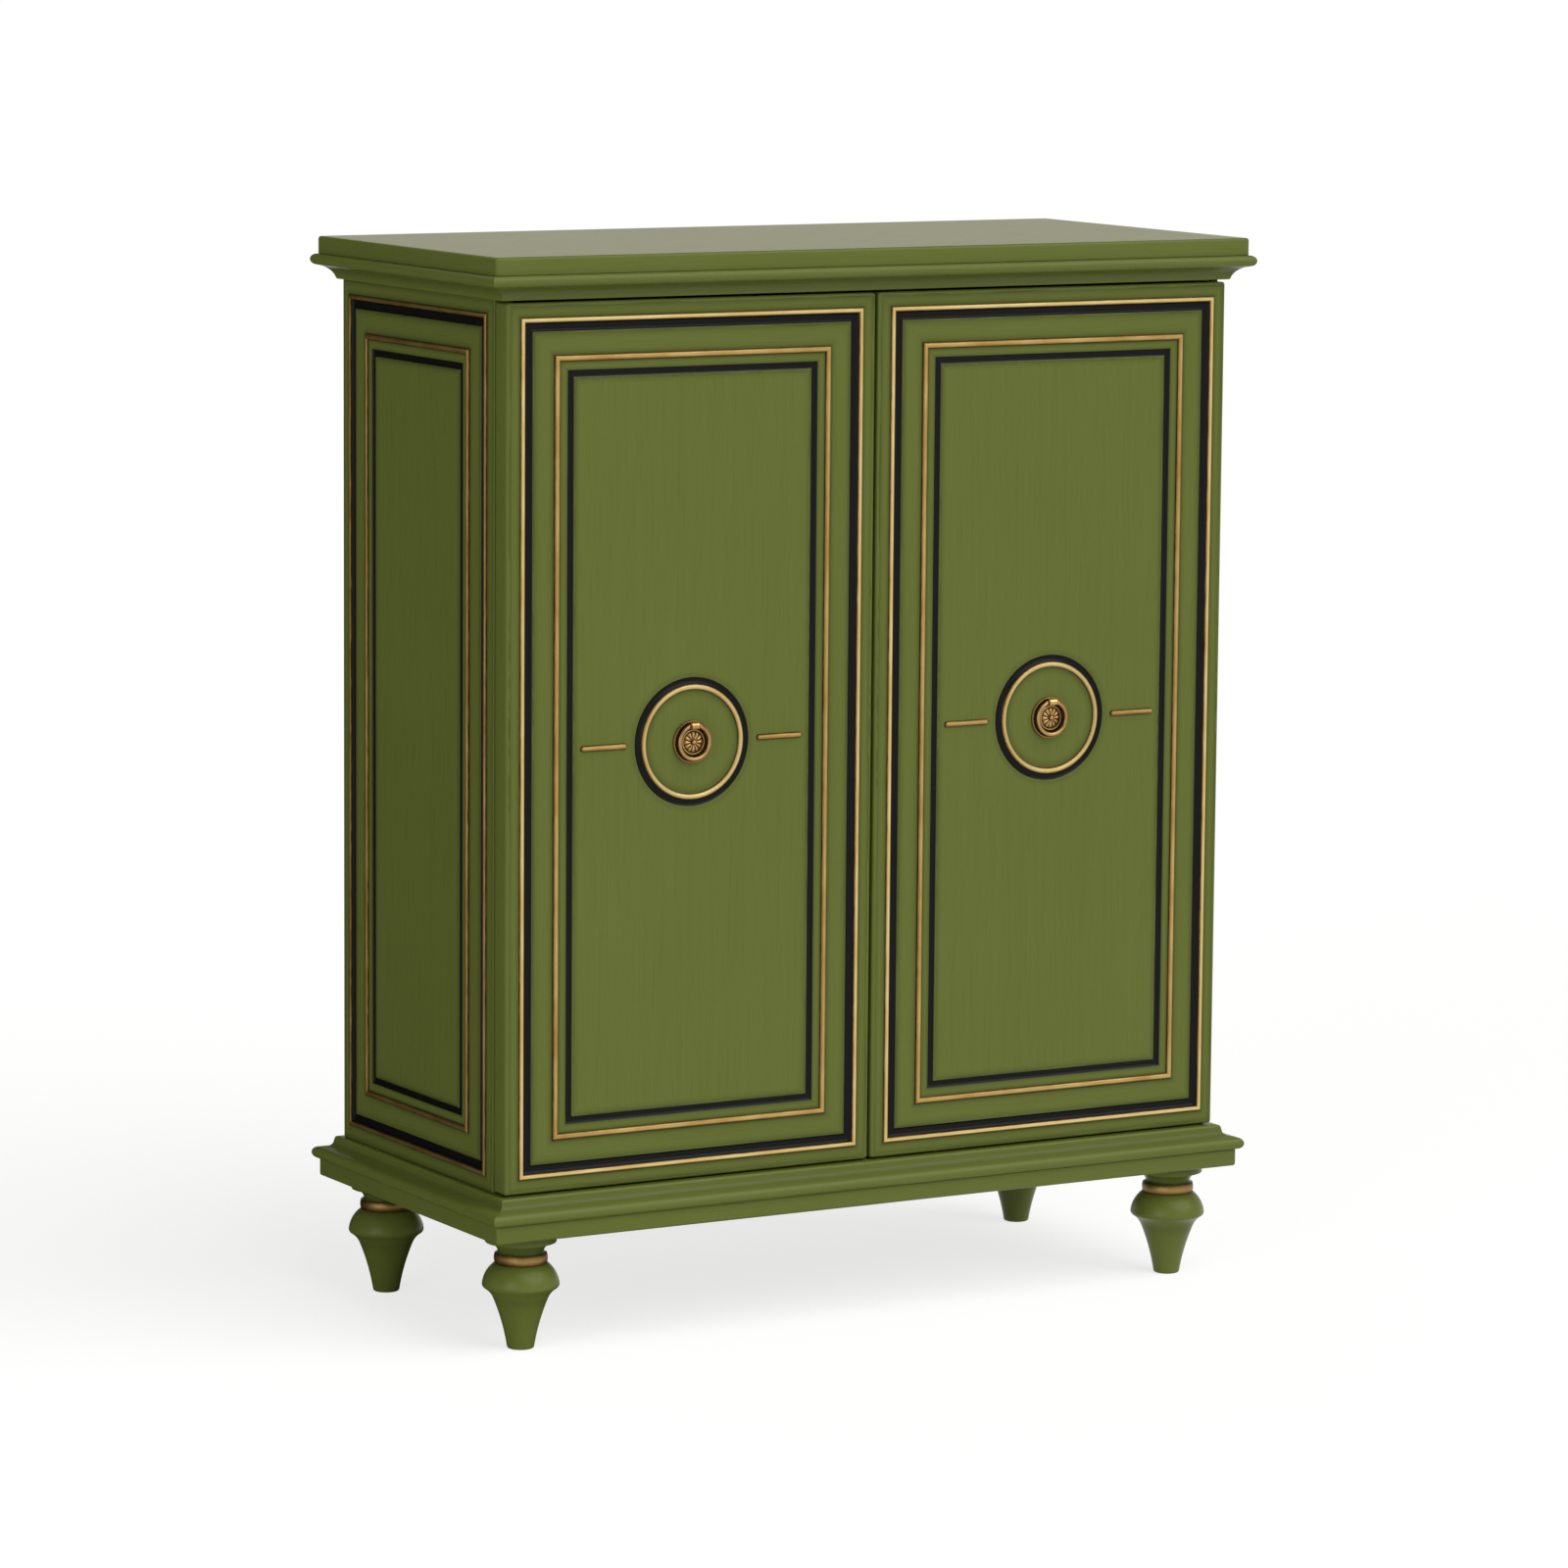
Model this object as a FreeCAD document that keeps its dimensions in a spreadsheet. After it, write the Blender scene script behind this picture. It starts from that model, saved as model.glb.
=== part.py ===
import FreeCAD, Part
import os
import re
import Sketcher

# A painted two-door cabinet on turned feet, in millimetres.
# X runs to the right, Y to the back and Z up; the origin is on the floor under the middle of the cabinet.

SIZES = {
    # The box between base and cornice, and the doors that cover its whole front.
    "case_width": 862,
    "case_depth": 345,
    "side_thickness": 20,
    "back_thickness": 6,
    "back_rebate": 10,
    "door_height": 911,
    "door_thickness": 25,
    "door_edge_radius": 3,
    "door_gap": 3,
    "door_top_gap": 2.5,
    "door_bottom_gap": 1.8,
    "door_meeting_gap": 3.4,
    # Top slab and base board, and the mouldings that run round under the one and over the other.
    # The cornice and its slab start a little behind the faces of the doors.
    "top_slab_thickness": 18.5,
    "base_board_thickness": 18.5,
    "slab_overhang": 20,
    "slab_edge_radius": 3,
    "cornice_setback": 5,
    "bead_height": 12.5,
    "bead_reach": 6,
    "cornice_height": 26,
    "cornice_fillet_overhang": 5.5,
    "cornice_cove_radius": 9.5,
    "cornice_ledge_radius": 1.5,
    "base_moulding_height": 25.5,
    "base_moulding_fillet_overhang": 8,
    "base_moulding_cove_radius": 6,
    "base_moulding_ledge_radius": 2.5,
    # Turned feet. The leg under the bulb takes what the sections above it leave of the height.
    "foot_inset_x": 54.5,
    "foot_inset_y": 51.5,
    "foot_height": 121.5,
    "foot_toe_radius": 13.6,
    "foot_toe_round": 2.5,
    "foot_waist_hollow_radius": 150,
    "foot_crease_radius": 29.5,
    "foot_bulb_radius": 40,
    "foot_bulb_height": 12.5,
    "foot_shoulder_height": 22.5,
    "foot_band_radius": 27.5,
    "foot_band_height": 8.5,
    "foot_collar_height": 2.5,
    "foot_neck_radius": 23.8,
    "foot_neck_height": 2,
    "foot_flange_radius": 37,
    "foot_flange_hollow_height": 9.5,
    "foot_flange_thickness": 9,
    "foot_bolt_radius": 4,
    "foot_bolt_in_foot": 34,
    "foot_bolt_in_case": 14,
    # Strips round the face of each door and side: a bead, a hollow, a second bead and a second hollow.
    "border_width": 15,
    "outer_bead_width": 5.4,
    "black_cove_width": 8.8,
    "black_cove_depth": 3,
    "inner_bead_inset": 53.5,
    "inner_bead_width": 6.4,
    "band_width": 9.2,
    "black_line_width": 7,
    "black_line_depth": 2,
    "groove_depth": 5,
    # Rings and dashes in the middle of each door.
    "gilt_ring_width": 6.2,
    "black_ring_width": 6.5,
    "black_ring_depth": 2,
    "dash_width": 6.2,
    # Ring pull.
    "plate_radius": 22.5,
    "plate_thickness": 2,
    "rim_width": 2.8,
    "rim_rise": 0.7,
    "boss_radius": 13,
    "boss_height": 5.2,
    "knob_radius": 3.4,
    "knob_height": 7,
    "ring_radius": 17.4,
    "ring_wire_radius": 2.2,
    "ring_stand_off": 5.7,
    "ring_pin_height": 17,
    "ring_pin_radius": 1.8,
    "ring_pin_length": 15,
    "knuckle_width": 10.8,
    "knuckle_radius": 3.7,
    "knuckle_side_clearance": 0.4,
    "pull_bolt_radius": 2,
    "pull_bolt_in_plate": 4,
    "pull_bolt_head_radius": 4.5,
    "pull_bolt_head_height": 3,
    "pull_bolt_hole_clearance": 0.4,
    # Pivots that the doors turn on, at the outer corners, top and bottom.
    "pivot_inset": 8,
    "pivot_setback": 13,
    "pivot_radius": 3,
    "pivot_in_case": 14,
    "pivot_in_door": 13,
    "pivot_shoulder_radius": 4.6,
    "bush_radius": 5,
    "bush_length": 16,
    "running_clearance": 0.05,
    # Inside: shelves on pins, magnetic catches and the screws that hold the box together.
    "shelf_thickness": 18,
    "shelf_setback": 15,
    "shelf_end_clearance": 1,
    "shelf_pin_inset": 60,
    "shelf_pin_radius": 2.5,
    "shelf_pin_in_side": 9,
    "shelf_pin_reach": 9,
    "catch_inset": 20,
    "catch_length": 40,
    "catch_depth": 18,
    "catch_height": 14,
    "strike_thickness": 1.5,
    "strike_height": 10,
    "screw_radius": 2.2,
    "screw_length": 55,
    "screw_head_radius": 4.5,
    "screw_head_height": 4,
    "cut_overrun": 2,
}

# Places along a depth or a height, as shares of it.
SCREW_SHARES = (0.15, 0.5, 0.85)
SHELF_SHARES = {"lower_shelf": 1 / 3, "upper_shelf": 2 / 3}
# The roundel's radius as a share of half a door, and its dashes' ends as shares of the room beside it.
ROUNDEL_SHARE = 0.31
DASH_SHARES = (0.13, 0.88)

# Sums that several pieces share. Names in them are sizes above.
HALF_WIDTH = "(case_width / 2)"
FULL_DEPTH = "(door_thickness + door_gap + case_depth)"
BACK = f"({FULL_DEPTH} / 2)"
FRONT = f"(-{BACK})"
TOP_FRONT = f"({FRONT} + cornice_setback)"
TOP_DEPTH = f"({FULL_DEPTH} - cornice_setback)"
CASE_FRONT = f"({BACK} - case_depth)"
CASE_MIDDLE = f"({BACK} - case_depth / 2)"
DOOR_WIDTH = "((case_width - door_meeting_gap) / 2)"
DOOR_MIDDLE = f"(({DOOR_WIDTH} + door_meeting_gap) / 2)"
SIDE_HEIGHT = "(door_bottom_gap + door_height + door_top_gap)"
BOARD_TOP = "(foot_height + base_board_thickness)"
CASE_FLOOR = f"({BOARD_TOP} + base_moulding_height)"
DOOR_FLOOR = f"({CASE_FLOOR} + door_bottom_gap)"
CASE_CEILING = f"({CASE_FLOOR} + {SIDE_HEIGHT})"
SLAB_FLOOR = f"({CASE_CEILING} + cornice_height)"
FOOT_X = f"({HALF_WIDTH} + slab_overhang - foot_inset_x)"
FOOT_Y = f"({BACK} + slab_overhang - foot_inset_y)"
PIVOT_X = f"({HALF_WIDTH} - pivot_inset)"
PIVOT_Y = f"({FRONT} + door_thickness - pivot_setback)"
SCREW_X = f"({HALF_WIDTH} - side_thickness / 2)"
SHELF_WIDTH = "(case_width - 2 * side_thickness - 2 * shelf_end_clearance)"
BLACK_COVE_INSET = "(border_width + outer_bead_width)"
BLACK_LINE_INSET = "(inner_bead_inset + inner_bead_width + band_width)"
ROUNDEL_RADIUS = f"({DOOR_WIDTH} / 2 * {ROUNDEL_SHARE})"
GILT_RING_OUTER = f"({ROUNDEL_RADIUS} - black_ring_width)"
DASH_ROOM = f"({DOOR_WIDTH} / 2 - {BLACK_LINE_INSET} - black_line_width - {ROUNDEL_RADIUS})"
DASH_START, DASH_END = (f"({ROUNDEL_RADIUS} + {DASH_ROOM} * {share})" for share in DASH_SHARES)

X_AXIS = FreeCAD.Vector(1, 0, 0)
Y_AXIS = FreeCAD.Vector(0, 1, 0)
Z_AXIS = FreeCAD.Vector(0, 0, 1)
UPRIGHT = FreeCAD.Rotation()
# Turns a piece whose Z points out of a face, so that it points to the front.
FACE_OUT = FreeCAD.Rotation(X_AXIS, 90)
UPSIDE_DOWN = FreeCAD.Rotation(X_AXIS, 180)
# Lays a piece that runs along Z along X or Y instead.
ALONG_X = FreeCAD.Rotation(Y_AXIS, 90)
ALONG_Y = FreeCAD.Rotation(X_AXIS, -90)

# The four decorated boards. Each is drawn with its face at y = 0, its foot at z = 0 and its middle at x = 0,
# and so is all that sits on it; then it is turned and put in its place. "outer" is the way along a door to
# its pivots, and "back" the way along a side to the back panel.
BOARDS = {
    "left_door": dict(width=DOOR_WIDTH, height="door_height", turn=0, outer=-1,
                      x=f"-{DOOR_MIDDLE}", y=FRONT, z=DOOR_FLOOR),
    "right_door": dict(width=DOOR_WIDTH, height="door_height", turn=0, outer=1,
                       x=DOOR_MIDDLE, y=FRONT, z=DOOR_FLOOR),
    "left_side": dict(width="case_depth", height=SIDE_HEIGHT, turn=-90, back=-1,
                      x=f"-{HALF_WIDTH}", y=CASE_MIDDLE, z=CASE_FLOOR),
    "right_side": dict(width="case_depth", height=SIDE_HEIGHT, turn=90, back=1,
                       x=HALF_WIDTH, y=CASE_MIDDLE, z=CASE_FLOOR),
}

doc = FreeCAD.newDocument("Cabinet")
sheet = doc.addObject("Spreadsheet::Sheet", "Sizes")
for row, (size_name, size) in enumerate(SIZES.items(), start=1):
    sheet.set(f"A{row}", size_name)
    sheet.set(f"B{row}", str(size))
    sheet.setAlias(f"B{row}", size_name)
doc.recompute()

subparts = []


def formula(total):
    """A sum of named sizes, with each name pointing at its cell."""
    return re.sub(r"[a-z_]\w*", lambda word: f"Sizes.{word.group()}", total)


def value(total):
    """The number that a sum of named sizes comes to."""
    return float(sheet.evalExpression(formula(total)))


def bind(piece, **sums):
    """Ties properties of a piece to sums of named sizes."""
    for name, total in sums.items():
        piece.setExpression(name, formula(total))


def place(piece, x="0", y="0", z="0", rotation=UPRIGHT):
    """Turns a piece and ties its place to sums of named sizes."""
    piece.Placement = FreeCAD.Placement(FreeCAD.Vector(), rotation)
    for axis, total in zip("xyz", (x, y, z)):
        piece.setExpression(f".Placement.Base.{axis}", formula(total))
    return piece


def subpart(piece, label):
    """Marks a finished piece as one that is handed on under this name."""
    piece.Label = label
    subparts.append(piece)
    return piece


def box(length, width, height, x="0", y="0", z="0"):
    piece = doc.addObject("Part::Box", "Block")
    bind(piece, Length=length, Width=width, Height=height)
    return place(piece, x, y, z)


def cylinder(radius, height, x="0", y="0", z="0", rotation=UPRIGHT):
    piece = doc.addObject("Part::Cylinder", "Rod")
    bind(piece, Radius=radius, Height=height)
    return place(piece, x, y, z, rotation)


def torus(radius, thickness, z="0"):
    piece = doc.addObject("Part::Torus", "Loop")
    bind(piece, Radius1=radius, Radius2=thickness)
    return place(piece, z=z)


def sphere(radius, x):
    piece = doc.addObject("Part::Sphere", "Ball")
    bind(piece, Radius=radius)
    return place(piece, x)


def fuse(*pieces):
    union = doc.addObject("Part::MultiFuse", "Union")
    union.Shapes = list(pieces)
    return union


def common(first, second):
    piece = doc.addObject("Part::Common", "Overlap")
    piece.Base = first
    piece.Tool = second
    return piece


def cut(base, *tools):
    piece = doc.addObject("Part::Cut", "Cut")
    piece.Base = base
    piece.Tool = tools[0] if len(tools) == 1 else fuse(*tools)
    return piece


def group(*pieces):
    """Several separate solids that share one name."""
    several = doc.addObject("Part::Compound", "Group")
    several.Links = list(pieces)
    return several


def on_board(piece, board):
    """Puts a board, or a piece that was drawn on its face, where that board stands in the cabinet."""
    return place(piece, board["x"], board["y"], board["z"], FreeCAD.Rotation(Z_AXIS, board["turn"]))


def on_door_middle(piece, board):
    """Puts a piece that was drawn upright round the origin on the middle of a door's face."""
    return place(piece, board["x"], board["y"], f"{board['z']} + door_height / 2", FACE_OUT)


def sketch_in(body, plane_role):
    """An empty sketch on one of a body's own planes."""
    sketch = body.newObject("Sketcher::SketchObject", "Outline")
    plane = next(feature for feature in body.Origin.OriginFeatures if feature.Role == plane_role)
    sketch.AttachmentSupport = [(plane, "")]
    sketch.MapMode = "FlatFace"
    return sketch


def pin_corner(sketch, edge, end, corner, tag):
    """Ties one corner of an outline to its two sums; a zero is a place on the axis itself."""
    for kind, axis_line, total in (("DistanceX", -2, corner[0]), ("DistanceY", -1, corner[1])):
        if total == "0":
            sketch.addConstraint(Sketcher.Constraint("PointOnObject", edge, end, axis_line))
        else:
            index = sketch.addConstraint(Sketcher.Constraint(kind, -1, 1, edge, end, value(total)))
            sketch.renameConstraint(index, f"{kind}_{tag}")
            sketch.setExpression(f"Constraints.{kind}_{tag}", formula(total))


def outline(sketch, corners, arcs):
    """A closed outline through corners given as sums, with straight runs between them.

    arcs maps a corner's number to the radius of the arc that leaves it and to the side that the arc's
    centre lies on: 1 for the left of the way to the next corner, -1 for the right.
    """
    spots = [FreeCAD.Vector(value(x), value(y), 0) for x, y in corners]
    ends = []
    for number, start in enumerate(spots):
        finish = spots[(number + 1) % len(spots)]
        if number not in arcs:
            ends.append((sketch.addGeometry(Part.LineSegment(start, finish)), 1, 2))
            continue
        radius_sum, side = arcs[number]
        radius = value(radius_sum)
        chord = finish - start
        to_centre = FreeCAD.Vector(-chord.y, chord.x, 0).normalize() * side
        reach = max(radius ** 2 - (chord.Length / 2) ** 2, 0) ** 0.5
        centre = start + chord * 0.5 + to_centre * reach
        first, last = (start, finish) if side > 0 else (finish, start)
        angles = [X_AXIS.getAngle(spot - centre) * (1 if spot.y >= centre.y else -1)
                  for spot in (first, last)]
        arc = Part.ArcOfCircle(Part.Circle(centre, Z_AXIS, radius), *angles)
        edge = sketch.addGeometry(arc)
        ends.append((edge, 1, 2) if side > 0 else (edge, 2, 1))
        index = sketch.addConstraint(Sketcher.Constraint("Radius", edge, radius))
        sketch.renameConstraint(index, f"Radius_{number}")
        sketch.setExpression(f"Constraints.Radius_{number}", formula(radius_sum))
    for number, (edge, first_end, last_end) in enumerate(ends):
        next_edge, next_end, _ = ends[(number + 1) % len(ends)]
        sketch.addConstraint(Sketcher.Constraint("Coincident", edge, last_end, next_edge, next_end))
        pin_corner(sketch, edge, first_end, corners[number], number)


def tangent_radius(across, along):
    """Radius of the arc that starts along one direction and moves this far across and along to its end."""
    return f"(({across})^2 + ({along})^2) / (2 * ({across}))"


def turned(corners, arcs):
    """A solid turned round Z, from one half of its outline: distance from the axis, then height."""
    body = doc.addObject("PartDesign::Body", "Turned")
    sketch = sketch_in(body, "XZ_Plane")
    outline(sketch, corners, arcs)
    revolution = body.newObject("PartDesign::Revolution", "Turn")
    revolution.Profile = sketch
    revolution.ReferenceAxis = (sketch, ["V_Axis"])
    return body


def eased_board(plane_role, away, width, low_edge, high_edge, thickness, radius):
    """A board drawn on a plane and grown away from it, eased on every edge but those of its far face."""
    body = doc.addObject("PartDesign::Body", "Board")
    sketch = sketch_in(body, plane_role)
    left = f"-({width}) / 2"
    right = f"({width}) / 2"
    outline(sketch, [(left, low_edge), (right, low_edge), (right, high_edge), (left, high_edge)], {})
    pad = body.newObject("PartDesign::Pad", "Slab")
    pad.Profile = sketch
    # A drawing on XZ faces the front, so its pad has to be turned to grow to the back.
    pad.Reversed = plane_role == "XZ_Plane"
    bind(pad, Length=thickness)
    doc.recompute()
    middle = value(thickness) / 2
    eased = [f"Edge{number}" for number, edge in enumerate(pad.Shape.Edges, start=1)
             if min(corner.Point.dot(away) for corner in edge.Vertexes) < middle]
    fillet = body.newObject("PartDesign::Fillet", "Easing")
    fillet.Base = (pad, eased)
    bind(fillet, Radius=radius)
    return body


def mitre_prism(near_length, far_length, width, low, high):
    """A flat bar along X whose ends are cut at the mitre: one length at y = 0, another at y = width."""
    bar = doc.addObject("Part::Wedge", "Mitre")
    spread = f"(({near_length}) - ({far_length})) / 2"
    bind(bar, Xmin="0", Xmax=near_length, Ymin="0", Ymax=width, Zmin=low, Zmax=high)
    bind(bar, X2min=spread, X2max=f"({near_length}) - {spread}", Z2min=low, Z2max=high)
    return bar


def bead_strip(length, width):
    """A half-round strip along X on a face at z = 0, mitred towards +Y."""
    bar = mitre_prism(length, f"{length} - 2 * {width}", width, "0", f"{width} / 2")
    rod = cylinder(f"{width} / 2", f"{length} + 2 * cut_overrun", "-cut_overrun", f"{width} / 2",
                   rotation=ALONG_X)
    return common(bar, rod)


def bow_radius(width, depth):
    """Radius of an arc that is this wide from end to end and rises or sinks this far in its middle."""
    return f"(({width})^2 / 4 + ({depth})^2) / (2 * ({depth}))"


def hollow_strip(depth):
    """Makes strips that fill a groove in a face at z = 0, hollowed to this depth and mitred towards +Y."""
    def strip(length, width):
        bar = mitre_prism(length, f"{length} - 2 * {width}", width, "-groove_depth", "0")
        radius = bow_radius(width, depth)
        rod = cylinder(radius, f"{length} + 2 * cut_overrun", "-cut_overrun", f"{width} / 2",
                       f"{radius} - {depth}", ALONG_X)
        return cut(bar, rod)
    return strip


def strip_frame(label, board, inset, width, strip):
    """Four mitred strips round the face of a board, this far in from its edges."""
    strips = []
    for turn, across, high in ((0, -1, False), (-90, 1, False), (180, 1, True), (90, -1, True)):
        run = board["height"] if abs(turn) == 90 else board["width"]
        piece = strip(f"({run} - 2 * {inset})", width)
        strips.append(place(piece, f"{across} * ({board['width']} / 2 - {inset})", "0",
                            f"{board['height']} - {inset}" if high else inset,
                            FreeCAD.Rotation(Y_AXIS, turn) * FACE_OUT))
    return subpart(on_board(group(*strips), board), label)


def groove_frame(board, inset, width):
    """The groove round a board's face that a frame of hollow strips is let into."""
    blocks = []
    for edge in (inset, f"({inset} + {width})"):
        across = f"{board['width']} - 2 * {edge}"
        up = f"{board['height']} - 2 * {edge}"
        blocks.append(box(across, "groove_depth + cut_overrun", up,
                          f"{edge} - {board['width']} / 2", "-cut_overrun", edge))
    return cut(*blocks)


def face_strips(name, board):
    """The gilt beads and black hollows round one decorated face."""
    cove = hollow_strip("black_cove_depth")
    line = hollow_strip("black_line_depth")
    strip_frame(f"{name}_outer_gilt_bead", board, "border_width", "outer_bead_width", bead_strip)
    strip_frame(f"{name}_black_cove", board, BLACK_COVE_INSET, "black_cove_width", cove)
    strip_frame(f"{name}_inner_gilt_bead", board, "inner_bead_inset", "inner_bead_width", bead_strip)
    strip_frame(f"{name}_black_line", board, BLACK_LINE_INSET, "black_line_width", line)


def face_grooves(board):
    return (groove_frame(board, BLACK_COVE_INSET, "black_cove_width"),
            groove_frame(board, BLACK_LINE_INSET, "black_line_width"))


def side_panel(name, board):
    """A side of the box: grooved outside, rebated for the back, bored for shelf pins and screws."""
    plain = box("case_depth", "side_thickness", SIDE_HEIGHT, "-case_depth / 2")
    back_edge = "case_depth / 2 - back_thickness" if board["back"] > 0 else "-case_depth / 2 - cut_overrun"
    rebate = box("back_thickness + cut_overrun", "back_rebate + cut_overrun",
                 f"{SIDE_HEIGHT} + 2 * cut_overrun",
                 back_edge, "side_thickness - back_rebate", "-cut_overrun")
    bores = []
    for share in SHELF_SHARES.values():
        for end in (-1, 1):
            bores.append(cylinder("shelf_pin_radius", "shelf_pin_in_side + cut_overrun",
                                  f"{end} * (case_depth / 2 - shelf_pin_inset)",
                                  "side_thickness - shelf_pin_in_side",
                                  f"{shelf_height(share)} - shelf_pin_radius", ALONG_Y))
    for share in SCREW_SHARES:
        along = f"case_depth * {share} - case_depth / 2"
        bores.append(cylinder("screw_radius", "screw_length - base_moulding_height + cut_overrun", along,
                              "side_thickness / 2", "-cut_overrun"))
        bores.append(cylinder("screw_radius", "screw_length - cornice_height + cut_overrun", along,
                              "side_thickness / 2", f"{SIDE_HEIGHT} - screw_length + cornice_height"))
    return subpart(on_board(cut(plain, rebate, *face_grooves(board), *bores), board), f"{name}_panel")


def shelf_height(share):
    """Height of a shelf's underside above the floor of the box."""
    return f"({SIDE_HEIGHT} * {share} - shelf_thickness / 2)"


def door_panel(name, board):
    """A door: an eased board, grooved on its face and bored for its pull and its two pivot bushes."""
    plain = eased_board("XZ_Plane", Y_AXIS, DOOR_WIDTH, "0", "door_height", "door_thickness",
                        "door_edge_radius")
    ring_tube = cut(cylinder(ROUNDEL_RADIUS, "groove_depth + cut_overrun"),
                    cylinder(GILT_RING_OUTER, "groove_depth + cut_overrun"))
    place(ring_tube, "0", "groove_depth", "door_height / 2", FACE_OUT)
    bolt_bore = cylinder("pull_bolt_radius + pull_bolt_hole_clearance", "door_thickness + 2 * cut_overrun",
                         "0", "-cut_overrun", "door_height / 2", ALONG_Y)
    bush_bores = [cylinder("bush_radius", "bush_length + cut_overrun", pivot_in_board(board),
                           "door_thickness - pivot_setback", start)
                  for start in ("-cut_overrun", "door_height - bush_length")]
    panel = cut(plain, *face_grooves(board), ring_tube, bolt_bore, *bush_bores)
    return subpart(on_board(panel, board), f"{name}_panel")


def pivot_in_board(board):
    return f"{board['outer']} * ({board['width']} / 2 - pivot_inset)"


def hinge_bushes(name, board):
    """The brass bushes that the door turns on, let into its bottom and top edges."""
    spot = (pivot_in_board(board), "door_thickness - pivot_setback")
    bushes = []
    for low in ("0", "door_height - bush_length"):
        bore = cylinder("pivot_radius + running_clearance", "bush_length + 2 * cut_overrun", *spot,
                        f"{low} - cut_overrun")
        bushes.append(cut(cylinder("bush_radius", "bush_length", *spot, low), bore))
    return subpart(on_board(group(*bushes), board), f"{name}_hinge_bushes")


def catch_plate(name, board):
    """The steel plate inside a door that its magnetic catch holds."""
    near = f"{board['width']} / 2 - catch_inset - catch_length"
    start = near if board["outer"] < 0 else f"-({board['width']}) / 2 + catch_inset"
    plate = box("catch_length", "strike_thickness", "strike_height", start, "door_thickness",
                "door_height + door_top_gap - catch_height")
    return subpart(on_board(group(plate), board), f"{name}_catch_plate")


def roundel(name, board):
    """The black ring, the gilt ring inside it and the two gilt dashes in the middle of a door."""
    tube = cut(cylinder(ROUNDEL_RADIUS, "groove_depth", z="-groove_depth"),
               cylinder(GILT_RING_OUTER, "groove_depth", z="-groove_depth"))
    radius = bow_radius("black_ring_width", "black_ring_depth")
    hollow = torus(f"{GILT_RING_OUTER} + black_ring_width / 2", radius, f"{radius} - black_ring_depth")
    subpart(on_door_middle(cut(tube, hollow), board), f"{name}_black_ring")

    gilt_ring = common(torus(f"{GILT_RING_OUTER} - gilt_ring_width / 2", "gilt_ring_width / 2"),
                       cylinder(f"{GILT_RING_OUTER} + cut_overrun", "gilt_ring_width / 2"))
    subpart(on_door_middle(gilt_ring, board), f"{name}_gilt_ring")

    dashes = []
    length = f"({DASH_END} - {DASH_START})"
    for way in (-1, 1):
        near = f"{way} * ({DASH_START} + dash_width / 2)"
        far = f"{way} * ({DASH_END} - dash_width / 2)"
        rod = cylinder("dash_width / 2", f"{length} - dash_width", near if way > 0 else far, rotation=ALONG_X)
        slab = box(length, "dash_width", "dash_width / 2", DASH_START if way > 0 else f"-{DASH_END}",
                   "-dash_width / 2")
        dashes.append(common(fuse(rod, sphere("dash_width / 2", near), sphere("dash_width / 2", far)), slab))
    subpart(on_door_middle(group(*dashes), board), f"{name}_gilt_dashes")


def ring_pull(name, board):
    """Backplate with its knuckle, the ring that hangs in it and the bolt that holds it on the door."""
    rim_inner = "plate_radius - rim_width"
    plate = turned(
        corners=[("0", "0"), ("plate_radius", "0"), ("plate_radius", "plate_thickness"),
                 (rim_inner, "plate_thickness"), ("boss_radius", "plate_thickness"),
                 ("knob_radius", "boss_height"), ("0", "knob_height")],
        arcs={2: (bow_radius("rim_width", "rim_rise"), 1),
              4: (tangent_radius("boss_height - plate_thickness", "boss_radius - knob_radius"), 1),
              5: (tangent_radius("knob_height - boss_height", "knob_radius"), 1)})
    post = box("knuckle_width", "2 * knuckle_radius", "ring_stand_off", "-knuckle_width / 2",
               "ring_pin_height - knuckle_radius")
    eye = cylinder("knuckle_radius", "knuckle_width", "-knuckle_width / 2", "ring_pin_height",
                   "ring_stand_off", ALONG_X)
    bore = cylinder("ring_pin_radius + running_clearance", "knuckle_width + 2 * cut_overrun",
                    "-knuckle_width / 2 - cut_overrun", "ring_pin_height", "ring_stand_off", ALONG_X)
    thread = cylinder("pull_bolt_radius", "pull_bolt_in_plate + cut_overrun", z="-cut_overrun")
    subpart(on_door_middle(cut(fuse(plate, post, eye), bore, thread), board), f"{name}_pull_plate")

    bolt = fuse(cylinder("pull_bolt_radius", "door_thickness + pull_bolt_in_plate", z="-door_thickness"),
                cylinder("pull_bolt_head_radius", "pull_bolt_head_height",
                         z="-door_thickness - pull_bolt_head_height"))
    subpart(on_door_middle(bolt, board), f"{name}_pull_bolt")

    gap = "(knuckle_width / 2 + knuckle_side_clearance)"
    notch = box(f"2 * {gap}", "ring_radius + ring_wire_radius + cut_overrun",
                "2 * ring_wire_radius + 2 * cut_overrun", f"-{gap}", "0",
                "ring_stand_off - ring_wire_radius - cut_overrun")
    pin = cylinder("ring_pin_radius", "ring_pin_length", "-ring_pin_length / 2", "ring_pin_height",
                   "ring_stand_off", ALONG_X)
    ring = fuse(cut(torus("ring_radius", "ring_wire_radius", "ring_stand_off"), notch), pin)
    subpart(on_door_middle(ring, board), f"{name.split('_')[0]}_pull_ring")


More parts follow.
